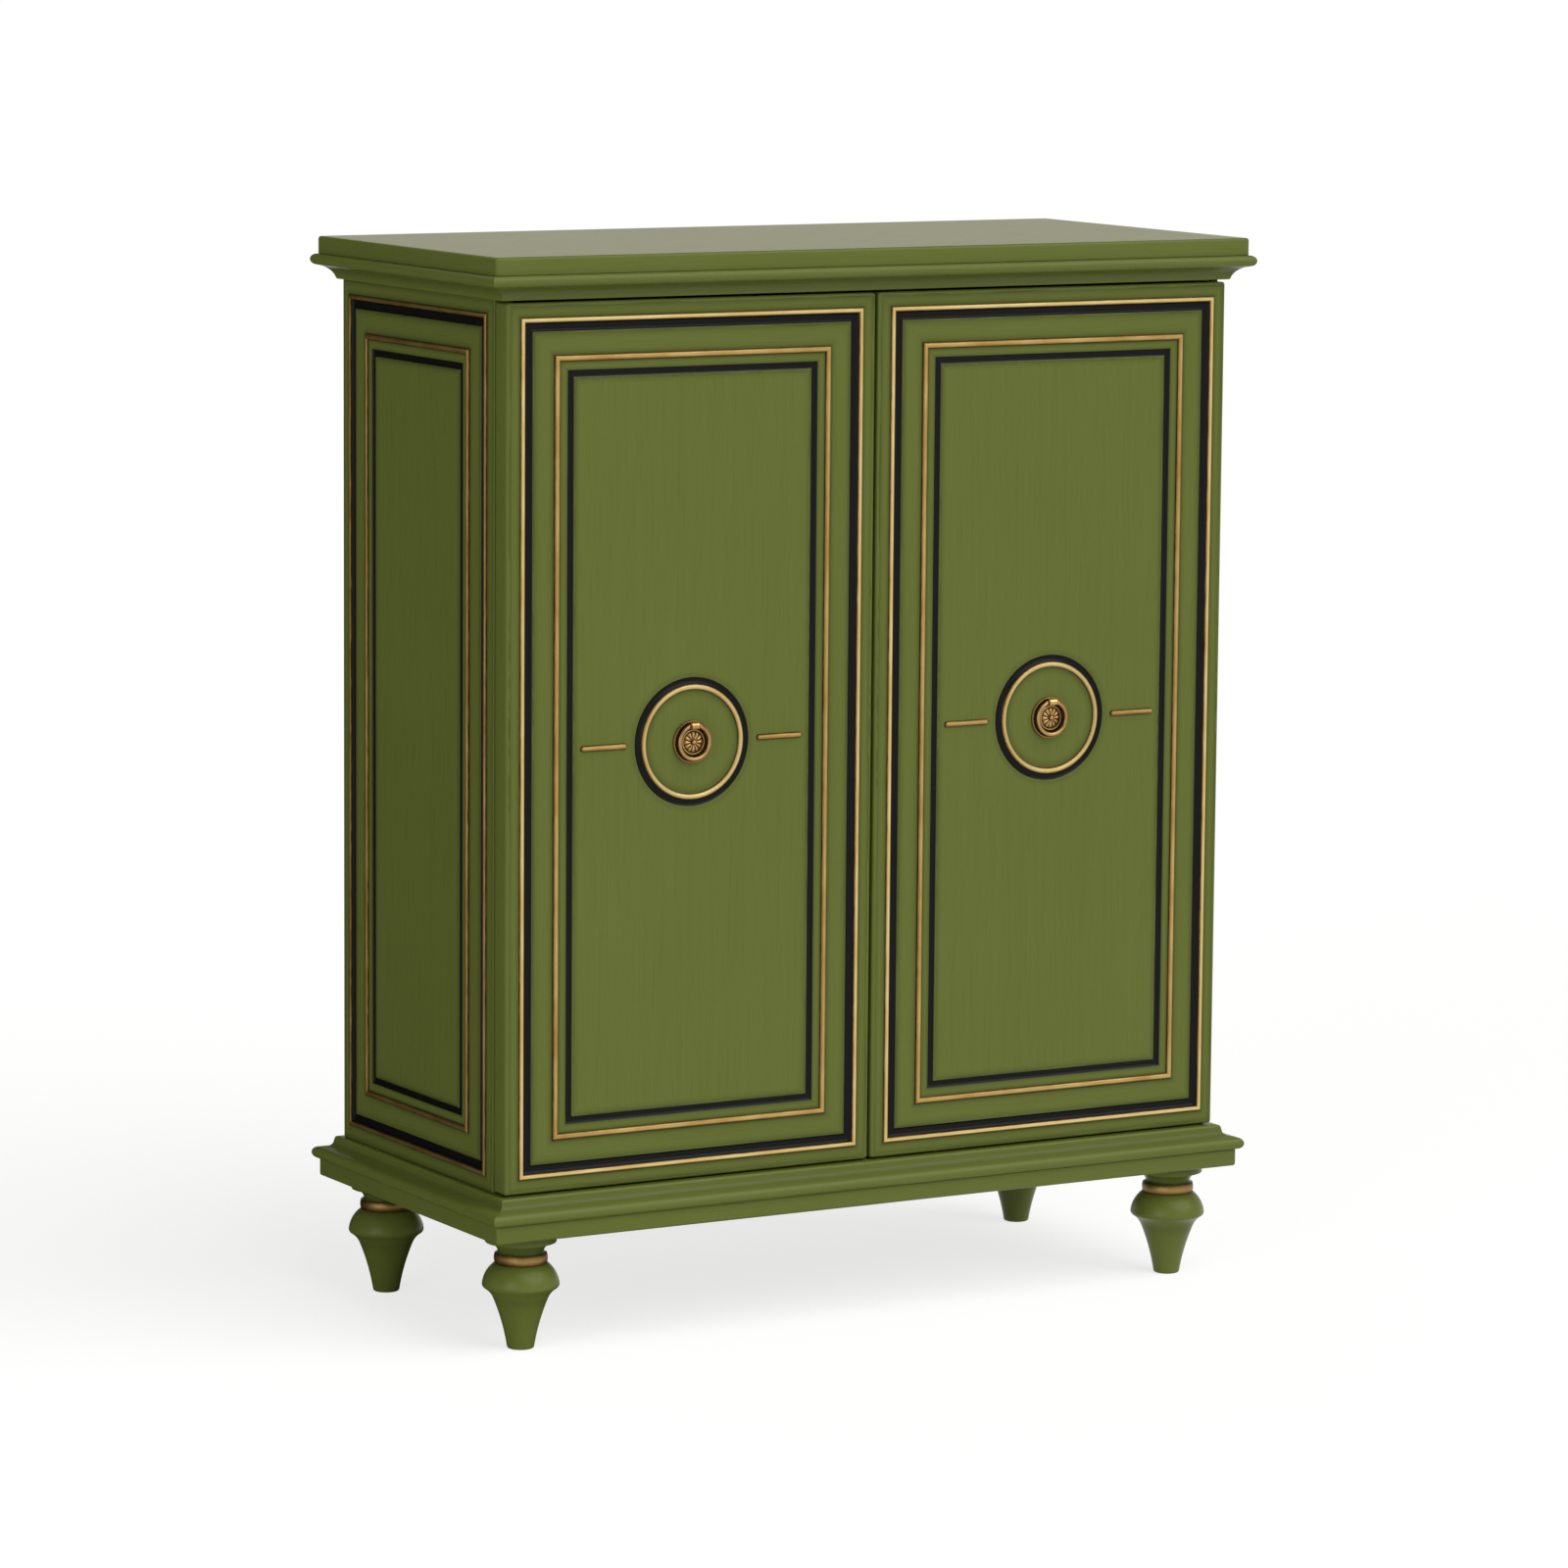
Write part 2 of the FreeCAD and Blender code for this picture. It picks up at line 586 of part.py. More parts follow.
def moulding_profile(kind):
    """Outline of a moulding: bead against the slab, then hollow, fillet and ledge against the case."""
    sketch = doc.addObject("Sketcher::SketchObject", "Profile")
    fillet = f"{kind}_fillet_overhang"
    hollow = f"{kind}_cove_radius"
    ledge = f"{kind}_ledge_radius"
    height = f"{kind}_height"
    outline(sketch,
            corners=[("0", "0"), ("slab_overhang", "0"), ("slab_overhang", "bead_height"),
                     (f"{fillet} + {hollow}", "bead_height"), (fillet, f"bead_height + {hollow}"),
                     (fillet, f"{height} - {ledge}"), (f"{fillet} - {ledge}", height), ("0", height)],
            arcs={1: (bow_radius("bead_height", "bead_reach"), 1), 3: (hollow, -1), 5: (ledge, 1)})
    # The drawing's right is the way out from the case, and its up is the way from the slab to the case.
    sketch.Placement = FreeCAD.Placement(FreeCAD.Vector(), FreeCAD.Rotation(FreeCAD.Vector(1, 1, 1), 120))
    return sketch


def moulding_ring(kind, front, depth, slab_face, upside_down):
    """Four mitred lengths of moulding round the edges of the top or bottom board."""
    reach = "(slab_overhang + bead_reach)"
    for place_name, turn, run, x, y in (("front", 180, "case_width", HALF_WIDTH, front),
                                        ("right", -90, depth, HALF_WIDTH, BACK),
                                        ("back", 0, "case_width", f"-{HALF_WIDTH}", BACK),
                                        ("left", 90, depth, f"-{HALF_WIDTH}", front)):
        length = doc.addObject("Part::Extrusion", "Length")
        length.Base = moulding_profile(kind)
        length.DirMode = "Custom"
        length.Dir = X_AXIS
        length.Solid = True
        bind(length, LengthFwd=f"{run} + {reach}", LengthRev=reach)
        piece = common(length, mitre_prism(run, f"{run} + 2 * {reach}", reach, "0", f"{kind}_height"))
        spin = FreeCAD.Rotation(Z_AXIS, turn)
        if upside_down:
            # Turned over about the way out, a length runs backwards, so it starts from its other end.
            spin = spin * FreeCAD.Rotation(Y_AXIS, 180)
            x = {"front": f"-{HALF_WIDTH}", "back": HALF_WIDTH}.get(place_name, x)
            y = {"right": front, "left": BACK}.get(place_name, y)
        subpart(place(piece, x, y, slab_face, spin), f"{kind}_{place_name}")


def foot():
    """One turned foot: toe, hollow waist, bulb, band, neck and flange, bored for its bolt."""
    flange_low = "(foot_height - foot_flange_thickness)"
    neck_high = f"({flange_low} - foot_flange_hollow_height)"
    neck_low = f"({neck_high} - foot_neck_height)"
    band_high = f"({neck_low} - foot_collar_height)"
    band_low = f"({band_high} - foot_band_height)"
    bulb_middle = f"({band_low} - foot_shoulder_height)"
    crease = f"({bulb_middle} - foot_bulb_height)"
    body = turned(
        corners=[("0", "0"), ("foot_toe_radius - foot_toe_round", "0"), ("foot_toe_radius", "foot_toe_round"),
                 ("foot_crease_radius", crease), ("foot_bulb_radius", bulb_middle),
                 ("foot_band_radius", band_low), ("foot_band_radius", band_high),
                 ("foot_neck_radius", neck_low), ("foot_neck_radius", neck_high),
                 ("foot_flange_radius", flange_low), ("foot_flange_radius", "foot_height"),
                 ("0", "foot_height")],
        arcs={1: ("foot_toe_round", 1),
              2: ("foot_waist_hollow_radius", -1),
              3: (tangent_radius("foot_bulb_radius - foot_crease_radius", "foot_bulb_height"), 1),
              4: (tangent_radius("foot_bulb_radius - foot_band_radius", "foot_shoulder_height"), 1),
              6: (tangent_radius("foot_band_radius - foot_neck_radius", "foot_collar_height"), 1),
              8: (tangent_radius("foot_flange_radius - foot_neck_radius", "foot_flange_hollow_height"), -1)})
    bore = cylinder("foot_bolt_radius", "foot_bolt_in_foot + cut_overrun",
                    z="foot_height - foot_bolt_in_foot")
    return cut(body, bore)


def feet():
    """Four feet, each with a bolt that runs up through the base board into the bottom board."""
    bolts = []
    bolt_length = "foot_bolt_in_foot + base_board_thickness + foot_bolt_in_case"
    for end_name, y in (("front", -1), ("back", 1)):
        for side_name, x in (("left", -1), ("right", 1)):
            spot = (f"{x} * {FOOT_X}", f"{y} * {FOOT_Y}")
            subpart(place(foot(), *spot), f"foot_{end_name}_{side_name}")
            bolts.append(cylinder("foot_bolt_radius", bolt_length, *spot, "foot_height - foot_bolt_in_foot"))
    subpart(group(*bolts), "foot_bolts")


def foot_bolt_bores(low, height):
    return [cylinder("foot_bolt_radius", height, f"{x} * {FOOT_X}", f"{y} * {FOOT_Y}", low)
            for x in (-1, 1) for y in (-1, 1)]


def screw_spots():
    return [(f"{side} * {SCREW_X}", f"{CASE_FRONT} + case_depth * {share}")
            for side in (-1, 1) for share in SCREW_SHARES]


def screws():
    """Screws that hold the sides between top and bottom boards, heads under the slab and over the base."""
    pieces = []
    for spot in screw_spots():
        for face, rotation in ((SLAB_FLOOR, UPSIDE_DOWN), (BOARD_TOP, UPRIGHT)):
            shaft = cylinder("screw_radius", "screw_length")
            head = cylinder("screw_head_radius", "screw_head_height")
            pieces.append(place(fuse(shaft, head), *spot, face, rotation))
    subpart(group(*pieces), "case_screws")


def pivot_bores(face, rotation):
    bores = []
    for side in (-1, 1):
        bore = cylinder("pivot_radius", "pivot_in_case + cut_overrun", z="-pivot_in_case")
        bores.append(place(group(bore), f"{side} * {PIVOT_X}", PIVOT_Y, face, rotation))
    return bores


def case_board(label, front, depth, low, height, outer_face, inner_face, way, more_bores):
    """The board at the top or bottom of the box, which its moulding runs round."""
    plain = box("case_width", depth, height, f"-{HALF_WIDTH}", front, low)
    bores = []
    for spot in screw_spots():
        shaft = cylinder("screw_radius", f"{height} + 2 * cut_overrun", z="-cut_overrun")
        head = cylinder("screw_head_radius", "screw_head_height + cut_overrun", z="-cut_overrun")
        bores.append(place(fuse(shaft, head), *spot, outer_face, way))
    piece = cut(plain, *bores, *pivot_bores(inner_face, way), *more_bores)
    return subpart(piece, label)


def hinge_pins():
    """Pins in the boards that the doors turn on, each with a shoulder as high as the door's gap."""
    pins = []
    for side in (-1, 1):
        for face, rotation, gap in ((CASE_FLOOR, UPRIGHT, "door_bottom_gap"),
                                    (CASE_CEILING, UPSIDE_DOWN, "door_top_gap")):
            pin = fuse(cylinder("pivot_radius", f"pivot_in_case + {gap} + pivot_in_door", z="-pivot_in_case"),
                       cylinder("pivot_shoulder_radius", gap))
            pins.append(place(pin, f"{side} * {PIVOT_X}", PIVOT_Y, face, rotation))
    subpart(group(*pins), "hinge_pins")


def shelves():
    """Loose shelves, each on four pins."""
    pins = []
    depth = "case_depth - shelf_setback - back_thickness"
    front = f"{CASE_FRONT} + shelf_setback"
    inner = f"({HALF_WIDTH} - side_thickness)"
    for name, share in SHELF_SHARES.items():
        low = f"{CASE_FLOOR} + {shelf_height(share)}"
        subpart(box(SHELF_WIDTH, depth, "shelf_thickness", f"-{SHELF_WIDTH} / 2", front, low), name)
        for side in (-1, 1):
            for end in (-1, 1):
                start = f"{inner} - shelf_pin_reach" if side > 0 else f"-{inner} - shelf_pin_in_side"
                pins.append(cylinder("shelf_pin_radius", "shelf_pin_in_side + shelf_pin_reach", start,
                                     f"{CASE_MIDDLE} + {end} * (case_depth / 2 - shelf_pin_inset)",
                                     f"{low} - shelf_pin_radius", ALONG_X))
    subpart(group(*pins), "shelf_pins")


def door_catches():
    """Two magnetic catches under the top board, each against the plate on its door."""
    blocks = [box("catch_length", "catch_depth", "catch_height", start,
                  f"{FRONT} + door_thickness + strike_thickness", f"{CASE_CEILING} - catch_height")
              for start in ("door_meeting_gap / 2 + catch_inset",
                            "-door_meeting_gap / 2 - catch_inset - catch_length")]
    subpart(group(*blocks), "door_catches")


def slab(label, front, depth, thickness, face, rotation, bores):
    """The base board, or turned over, the top slab: eased all round its outer face."""
    half_depth = f"({depth} / 2 + slab_overhang)"
    board = eased_board("XY_Plane", Z_AXIS, "case_width + 2 * slab_overhang", f"-{half_depth}", half_depth,
                        thickness, "slab_edge_radius")
    piece = place(group(board), "0", f"{front} + {depth} / 2", face, rotation)
    subpart(cut(piece, *bores) if bores else piece, label)


# Case, from the top down.
slab("top_slab", TOP_FRONT, TOP_DEPTH, "top_slab_thickness", f"{SLAB_FLOOR} + top_slab_thickness",
     UPSIDE_DOWN, [])
moulding_ring("cornice", TOP_FRONT, TOP_DEPTH, SLAB_FLOOR, True)
case_board("case_top", TOP_FRONT, TOP_DEPTH, CASE_CEILING, "cornice_height", SLAB_FLOOR, CASE_CEILING,
           UPSIDE_DOWN, [])
for side_name in ("left_side", "right_side"):
    side_panel(side_name, BOARDS[side_name])
    face_strips(side_name, BOARDS[side_name])
back_half = f"({HALF_WIDTH} - side_thickness + back_rebate)"
subpart(box(f"2 * {back_half}", "back_thickness", SIDE_HEIGHT, f"-{back_half}", f"{BACK} - back_thickness",
            CASE_FLOOR), "back_panel")
shelves()
door_catches()
screws()
hinge_pins()
case_board("case_bottom", FRONT, FULL_DEPTH, BOARD_TOP, "base_moulding_height", BOARD_TOP, CASE_FLOOR,
           UPRIGHT, foot_bolt_bores(f"{BOARD_TOP} - cut_overrun", "foot_bolt_in_case + cut_overrun"))
moulding_ring("base_moulding", FRONT, FULL_DEPTH, BOARD_TOP, False)
slab("base_board", FRONT, FULL_DEPTH, "base_board_thickness", "foot_height", UPRIGHT,
     foot_bolt_bores("foot_height - cut_overrun", "base_board_thickness + 2 * cut_overrun"))
feet()

# Doors, with all that rides on them.
for door_name in ("left_door", "right_door"):
    door_panel(door_name, BOARDS[door_name])
    face_strips(door_name, BOARDS[door_name])
    roundel(door_name, BOARDS[door_name])
    hinge_bushes(door_name, BOARDS[door_name])
    catch_plate(door_name, BOARDS[door_name])
    ring_pull(door_name, BOARDS[door_name])

doc.recompute()
failed = [thing.Name for thing in doc.Objects if "Invalid" in thing.State or "Error" in thing.State]
broken = [piece.Label for piece in subparts if piece.Shape.isNull() or not piece.Shape.isValid()]
if failed or broken:
    raise RuntimeError(f"failed: {failed}, broken: {broken}")

os.makedirs("parts", exist_ok=True)
for piece in subparts:
    piece.Shape.exportStep(f"parts/{piece.Label}.step")
print(len(subparts), "pieces,", sum(len(piece.Shape.Solids) for piece in subparts), "solids")
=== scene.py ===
# %% [markdown]
# # A painted cabinet with two doors
# The cabinet is a plain box between two moulded slabs on turned feet. Its doors and sides carry gilt
# beads and black hollows, and each door has a ring pull in a roundel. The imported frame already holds
# every body, size and joint, so this script only gives each visible piece its finished surface, and then
# its finish. Sizes that the frame knows are read from it; what is too fine for it, such as the petals of
# the pulls, is named here in millimetres.

# %% The frame
import bmesh
import bpy
import numpy as np
from mathutils import Matrix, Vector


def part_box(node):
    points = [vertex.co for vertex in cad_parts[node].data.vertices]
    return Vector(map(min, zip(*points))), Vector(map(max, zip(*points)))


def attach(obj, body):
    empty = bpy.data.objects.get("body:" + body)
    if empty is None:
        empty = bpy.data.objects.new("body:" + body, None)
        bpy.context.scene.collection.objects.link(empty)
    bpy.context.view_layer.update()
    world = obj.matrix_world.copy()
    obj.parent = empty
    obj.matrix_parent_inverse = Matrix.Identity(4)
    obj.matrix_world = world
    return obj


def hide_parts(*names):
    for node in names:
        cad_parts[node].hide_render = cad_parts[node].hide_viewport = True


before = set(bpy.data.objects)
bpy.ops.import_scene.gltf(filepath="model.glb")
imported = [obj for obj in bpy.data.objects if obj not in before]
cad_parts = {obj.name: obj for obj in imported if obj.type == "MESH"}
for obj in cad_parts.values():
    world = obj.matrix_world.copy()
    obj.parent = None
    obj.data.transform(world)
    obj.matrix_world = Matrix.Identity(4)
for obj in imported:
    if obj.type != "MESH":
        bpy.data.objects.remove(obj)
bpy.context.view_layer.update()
MM = 0.001

# %% [markdown]
# A node tree is easier to read as a list of what feeds what. One small function adds a node, sets its own
# properties, fills its inputs, each with a plain value or with the output of an earlier node, and gives
# back one of its outputs. Colours are written as sRGB hex, the way a paint chart gives them, and one
# function turns them into the linear numbers that the shaders work in.

# %% Node and colour helpers
# The colour sockets of a Mix node share their names with its other sockets, so they go by number.
FACTOR, FIRST, SECOND = 0, 6, 7
COLOUR_MIX = {"output": 2, "data_type": "RGBA"}


def linear(hex_colour):
    """sRGB hex to linear red, green, blue and alpha: each channel through the standard curve."""
    srgb = np.array([int(hex_colour[start:start + 2], 16) for start in (1, 3, 5)]) / 255
    rgb = np.where(srgb <= 0.04045, srgb / 12.92, ((srgb + 0.055) / 1.055) ** 2.4)
    return (*rgb, 1.0)


def feed(tree, node, inputs):
    """Fills a node's inputs, by name or number, with plain values or with other nodes' outputs."""
    for socket, source in inputs.items():
        if isinstance(source, bpy.types.NodeSocket):
            tree.links.new(source, node.inputs[socket])
        else:
            node.inputs[socket].default_value = source


def add_node(tree, kind, inputs, output=0, **settings):
    """A node, by its type without ShaderNode, with its settings and inputs. Returns one of its outputs."""
    node = tree.nodes.new(f"ShaderNode{kind}")
    for name, setting in settings.items():
        setattr(node, name, setting)
    feed(tree, node, inputs)
    return node.outputs[output]


def new_material(name):
    """A material, its node tree and its shader."""
    material = bpy.data.materials.new(name)
    material.use_nodes = True
    return material, material.node_tree, material.node_tree.nodes["Principled BSDF"]


print("linear olive:", np.round(linear("#667032"), 3))

# %% [markdown]
# ## Brushed paint
# The cabinet is wood or board under olive paint that was brushed out by hand. The brush leaves fine
# streaks along each member: up and down on the panels and along the rails. The turned feet show only a
# fine grain. A dark glaze was then wiped over; it stays in the odd pinhole and beside the mouldings,
# where the same dark colour is painted shade as well, as it is in their hollows and under the bulbs of
# the feet. The streaks could be an image, but two noises stretched along the stroke give them at any
# scale. Which way the stroke ran is an attribute of each face, and the darkness from glaze and painted
# shade is an attribute of each point, so one material serves every painted piece.

# %% Brush strokes and pinholes
# The marks of single hairs are too fine to show in the render, so streaks are drawn as wide as it needs.
STROKE_WIDTH, STROKE_LENGTH = 1.1 * MM, 70 * MM
PINHOLE_SPACING = 9 * MM


def stretched(tree, width, length):
    """Object coordinates divided by a width, except along the stroke, where they are divided by a length."""
    place = add_node(tree, "TexCoord", {}, "Object")
    stroke = add_node(tree, "Attribute", {}, "Vector", attribute_name="stroke")
    along = add_node(tree, "VectorMath", {0: place, 1: stroke}, "Value", operation="DOT_PRODUCT")
    shorten = add_node(tree, "Math", {0: along, 1: 1 / length - 1 / width}, operation="MULTIPLY")
    pull = add_node(tree, "VectorMath", {0: stroke, "Scale": shorten}, operation="SCALE")
    even = add_node(tree, "VectorMath", {0: place, "Scale": 1 / width}, operation="SCALE")
    return add_node(tree, "VectorMath", {0: even, 1: pull})


def pinholes(tree, place):
    """A dark dot in the middle of a few cells of a Voronoi pattern, chosen by the cell's random colour."""
    cell = add_node(tree, "TexVoronoi", {"Vector": place, "Scale": 1 / PINHOLE_SPACING}, "Distance")
    rare = add_node(tree, "SeparateColor", {0: cell.node.outputs["Color"]})
    rare = add_node(tree, "MapRange", {"Value": rare, "From Min": 0.93, "From Max": 0.94})
    dot = add_node(tree, "MapRange", {"Value": cell, "From Min": 0.06, "From Max": 0.03, "To Max": 0.8})
    return add_node(tree, "Math", {0: dot, 1: rare}, operation="MULTIPLY")


print("strokes", STROKE_WIDTH, "by", STROKE_LENGTH, "m, pinholes in cells of", PINHOLE_SPACING, "m")

# %% [markdown]
# The paint mixes two greens by the streaks. The dark colour goes over them twice: as glaze and painted
# shade where the attribute says, with a little caught in the brush marks everywhere, and in the pinholes.

# %% Paint material
BROAD_WIDTH, BROAD_LENGTH = 9.9 * MM, 280 * MM
CLOUD_SIZE = 180 * MM
SLOW_SHARE = 0.45
PAINT_RELIEF = 0.02 * MM


def brushed_paint(name, colour, streak_colour, glaze_and_shade_colour, roughness, ior):
    """Satin paint: streaks along the brush, slow clouds, glaze and painted shade as the attribute says,
    pinholes.
    """
    material, tree, shader = new_material(name)
    place = add_node(tree, "TexCoord", {}, "Object")
    glaze_and_shade = add_node(tree, "Attribute", {}, "Fac", attribute_name="glaze_and_shade")
    fine_place = stretched(tree, STROKE_WIDTH, STROKE_LENGTH)
    fine = add_node(tree, "TexNoise", {"Vector": fine_place, "Scale": 1.0, "Detail": 4.0, "Roughness": 0.65})
    broad_place = stretched(tree, BROAD_WIDTH, BROAD_LENGTH)
    broad = add_node(tree, "TexNoise", {"Vector": broad_place, "Scale": 1.0, "Detail": 2.0})
    cloud = add_node(tree, "TexNoise", {"Vector": place, "Scale": 1 / CLOUD_SIZE, "Detail": 2.0})
    slow = add_node(tree, "Math", {0: broad, 1: cloud})
    streak = add_node(tree, "Math", {0: slow, 1: SLOW_SHARE, 2: fine}, operation="MULTIPLY_ADD")
    streak = add_node(tree, "MapRange", {"Value": streak, "From Min": 0.6, "From Max": 1.3})
    paint = add_node(tree, "Mix", {FACTOR: streak, FIRST: linear(streak_colour), SECOND: linear(colour)},
                     **COLOUR_MIX)
    wiped = add_node(tree, "MapRange", {"Value": fine, "From Min": 0.3, "From Max": 0.7,
                                        "To Min": 0.35, "To Max": 0.75})
    caught = add_node(tree, "MapRange", {"Value": fine, "From Min": 0.6, "From Max": 0.8, "To Max": 0.3})
    # Glaze and painted shade where the attribute says, broken up by the wiping, and a little caught in the
    # marks.
    wiped = add_node(tree, "Math", {0: glaze_and_shade, 1: wiped, 2: caught}, operation="MULTIPLY_ADD")
    glaze_and_shade_tint = linear(glaze_and_shade_colour)
    for dark in (wiped, pinholes(tree, place)):
        paint = add_node(tree, "Mix", {FACTOR: dark, FIRST: paint, SECOND: glaze_and_shade_tint}, **COLOUR_MIX)
    gloss = add_node(tree, "MapRange", {"Value": fine, "From Min": 0.25, "From Max": 0.75,
                                        "To Min": roughness[0], "To Max": roughness[1]})
    relief = add_node(tree, "Bump", {"Strength": 0.6, "Distance": PAINT_RELIEF, "Height": fine})
    feed(tree, shader, {"Base Color": paint, "Roughness": gloss, "Normal": relief, "IOR": ior})
    return material


# Satin olive paint: green with a yellow cast, soft highlights on its edges, a pale sheen on the top.
green_paint = brushed_paint("brushed_olive_paint", "#667032", "#5E682B", "#2A2A0E", (0.25, 0.34), 1.25)
# The same paint rolled on inside, flatter and a little darker.
inside_paint = brushed_paint("flat_olive_paint", "#565F2C", "#4C5424", "#2A2A0E", (0.55, 0.65), 1.3)
# Black lacquer in the hollows: nearly black, with a soft grey shine.
black_paint = brushed_paint("black_lacquer", "#151516", "#111112", "#0C0A08", (0.26, 0.36), 1.2)
print("paints:", green_paint.name, inside_paint.name, black_paint.name)

# %% [markdown]
# ## Gilding and metal
# The beads are gilded with gold paint over brown. The foot of each bead is brown, which is glaze and
# painted shade, so that only the crown shines. The pulls are cast brass that was darkened and then rubbed
# bright on its high places. Both finishes are one metal whose colour and roughness follow the same
# attribute of glaze and painted shade, broken up by a noise so that it looks wiped.

# %% Metal material
RUB_SIZE = 45 * MM
GRAIN_LENGTH = 17.5 * MM
METAL_RELIEF = 0.008 * MM


def rubbed_metal(name, colour, warm_colour, dark_colour, metallic, roughness):
    """Metal, bright where it was rubbed and dark as the attribute says: stain, and painted shade on gilt
    edges.
    """
    material, tree, shader = new_material(name)
    place = add_node(tree, "TexCoord", {}, "Object")
    glaze_and_shade = add_node(tree, "Attribute", {}, "Fac", attribute_name="glaze_and_shade")
    rub = add_node(tree, "TexNoise", {"Vector": place, "Scale": 1 / RUB_SIZE, "Detail": 4.0})
    grain_place = stretched(tree, STROKE_WIDTH, GRAIN_LENGTH)
    grain = add_node(tree, "TexNoise", {"Vector": grain_place, "Scale": 1.0, "Detail": 3.0})
    tone = add_node(tree, "MapRange", {"Value": rub, "From Min": 0.35, "From Max": 0.7})
    tint = add_node(tree, "Mix", {FACTOR: tone, FIRST: linear(colour), SECOND: linear(warm_colour)},
                    **COLOUR_MIX)
    wiped = add_node(tree, "MapRange", {"Value": grain, "From Min": 0.3, "From Max": 0.7,
                                        "To Min": 0.8, "To Max": 1.15})
    # Stain, and on the gilt beads painted shade at their edges, broken up by the wiping.
    stain_and_shade = add_node(tree, "Math", {0: glaze_and_shade, 1: wiped}, operation="MULTIPLY", use_clamp=True)
    tint = add_node(tree, "Mix", {FACTOR: stain_and_shade, FIRST: tint, SECOND: linear(dark_colour)}, **COLOUR_MIX)
    gloss = add_node(tree, "MapRange", {"Value": stain_and_shade, "To Min": roughness[0], "To Max": roughness[1]})
    relief = add_node(tree, "Bump", {"Strength": 0.5, "Distance": METAL_RELIEF, "Height": grain})
    feed(tree, shader, {"Base Color": tint, "Roughness": gloss, "Normal": relief, "Metallic": metallic})
    return material


# Gold paint on wood: warm and satin, brown at its edges, as glaze and painted shade.
gilt = rubbed_metal("gold_paint", "#E8D190", "#D8B86C", "#4E3010", 0.85, (0.34, 0.6))
# The same gold, deeper and redder under more brown glaze; on the sides it is also painted shade.
glazed_and_shaded_gilt = rubbed_metal("glazed_and_shaded_gold_paint", "#CEAE6A", "#B28C48", "#3A220A", 0.85, (0.34, 0.6))
# Cast brass, stained dark and rubbed: dull in the hollows and bright on the crowns.
aged_brass = rubbed_metal("aged_cast_brass", "#C8A46A", "#A8814E", "#2C1B0D", 1.0, (0.28, 0.6))
# Turned brass of the bushes and shelf pins, with no stain.
turned_brass = rubbed_metal("turned_brass", "#D9B673", "#C7A05E", "#5A4420", 1.0, (0.25, 0.4))
# The pivot pins are brass gone dark, which hardly shows in the gaps over and under the doors.
dark_brass = rubbed_metal("darkened_brass", "#3A2E1C", "#2C2214", "#1A130A", 1.0, (0.5, 0.7))
# Zinc-plated steel of screws and plates: a cool grey with a soft shine.
plated_steel = rubbed_metal("zinc_plated_steel", "#B9BBBE", "#A6A8AC", "#55575A", 1.0, (0.3, 0.4))
print("metals:", gilt.name, glazed_and_shaded_gilt.name, aged_brass.name, turned_brass.name, dark_brass.name,
      plated_steel.name)

# %% [markdown]
# ## Surfaces from grids
# Every new piece is a surface over a grid of points: rows are the points of a section, and columns are
# places along the path or round the turn. The grid could be built face by face, but as whole arrays it is
# a few lines. Points that fall together, as at a pole or a sharp mitre, are merged, and the faces are
# turned outwards.

# %% Pieces from grids
SHARP_ANGLE = np.radians(32)
MERGE_DISTANCE = 1e-7


def stacked(*coordinates):
    """Points from arrays of their coordinates, which are stretched to one shape first."""
    return np.stack(np.broadcast_arrays(*coordinates), axis=-1)


def grid_quads(rows, columns, wrap_rows=False, wrap_columns=True):
    """Quads between neighbouring rows and columns of points that are numbered row by row."""
    row = np.arange(rows if wrap_rows else rows - 1)[:, None]
    column = np.arange(columns if wrap_columns else columns - 1)[None, :]
    here, below = row * columns, (row + 1) % rows * columns
    beside = (column + 1) % columns
    return stacked(here + column, here + beside, below + beside, below + column).reshape(-1, 4)


def tube_faces(rows, columns, close_end=True):
    """Quads round a tube of points, with a face over its first row and, if wanted, over its last."""
    closed_rows = (0, rows - 1) if close_end else (0,)
    caps = [list(range(row * columns, (row + 1) * columns)) for row in closed_rows]
    return grid_quads(rows, columns).tolist() + caps


def add_piece(name, points, faces, material, body, replaced=(), glaze_and_shade=0.0, stroke=(0.0, 0.0, 0.0)):
    """A closed mesh on a body.

    How dark each point is, as glaze and painted shade, is one number for the piece, for each row of its
    points or for each point; stroke is the brush's way over the piece or over each face.
    """
    points = np.asarray(points).reshape(-1, 3)
    mesh = bpy.data.meshes.new(name)
    mesh.from_pydata(points, [], [list(face) for face in faces])
    # Each point's darkness: glaze and patina, and painted shade in creases and hollows.
    left = np.repeat(np.ravel(glaze_and_shade), len(points) // np.size(glaze_and_shade)).astype(np.float32)
    mesh.attributes.new("glaze_and_shade", "FLOAT", "POINT").data.foreach_set("value", left)
    way = np.broadcast_to(np.reshape(stroke, (-1, 3)), (len(faces), 3)).astype(np.float32)
    mesh.attributes.new("stroke", "FLOAT_VECTOR", "FACE").data.foreach_set("vector", way.ravel())
    shell = bmesh.new()
    shell.from_mesh(mesh)
    bmesh.ops.remove_doubles(shell, verts=shell.verts, dist=MERGE_DISTANCE)
    bmesh.ops.recalc_face_normals(shell, faces=shell.faces)
    shell.to_mesh(mesh)
    shell.free()
    mesh.shade_smooth()
    mesh.set_sharp_from_angle(angle=SHARP_ANGLE)
    mesh.materials.append(material)
    piece = bpy.data.objects.new(name, mesh)
    bpy.context.scene.collection.objects.link(piece)
    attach(piece, body)
    if replaced:
        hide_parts(*replaced)
    print(name, len(mesh.polygons), "faces")


print("faces of a closed tube of 3 rows and 4 columns:", tube_faces(3, 4))

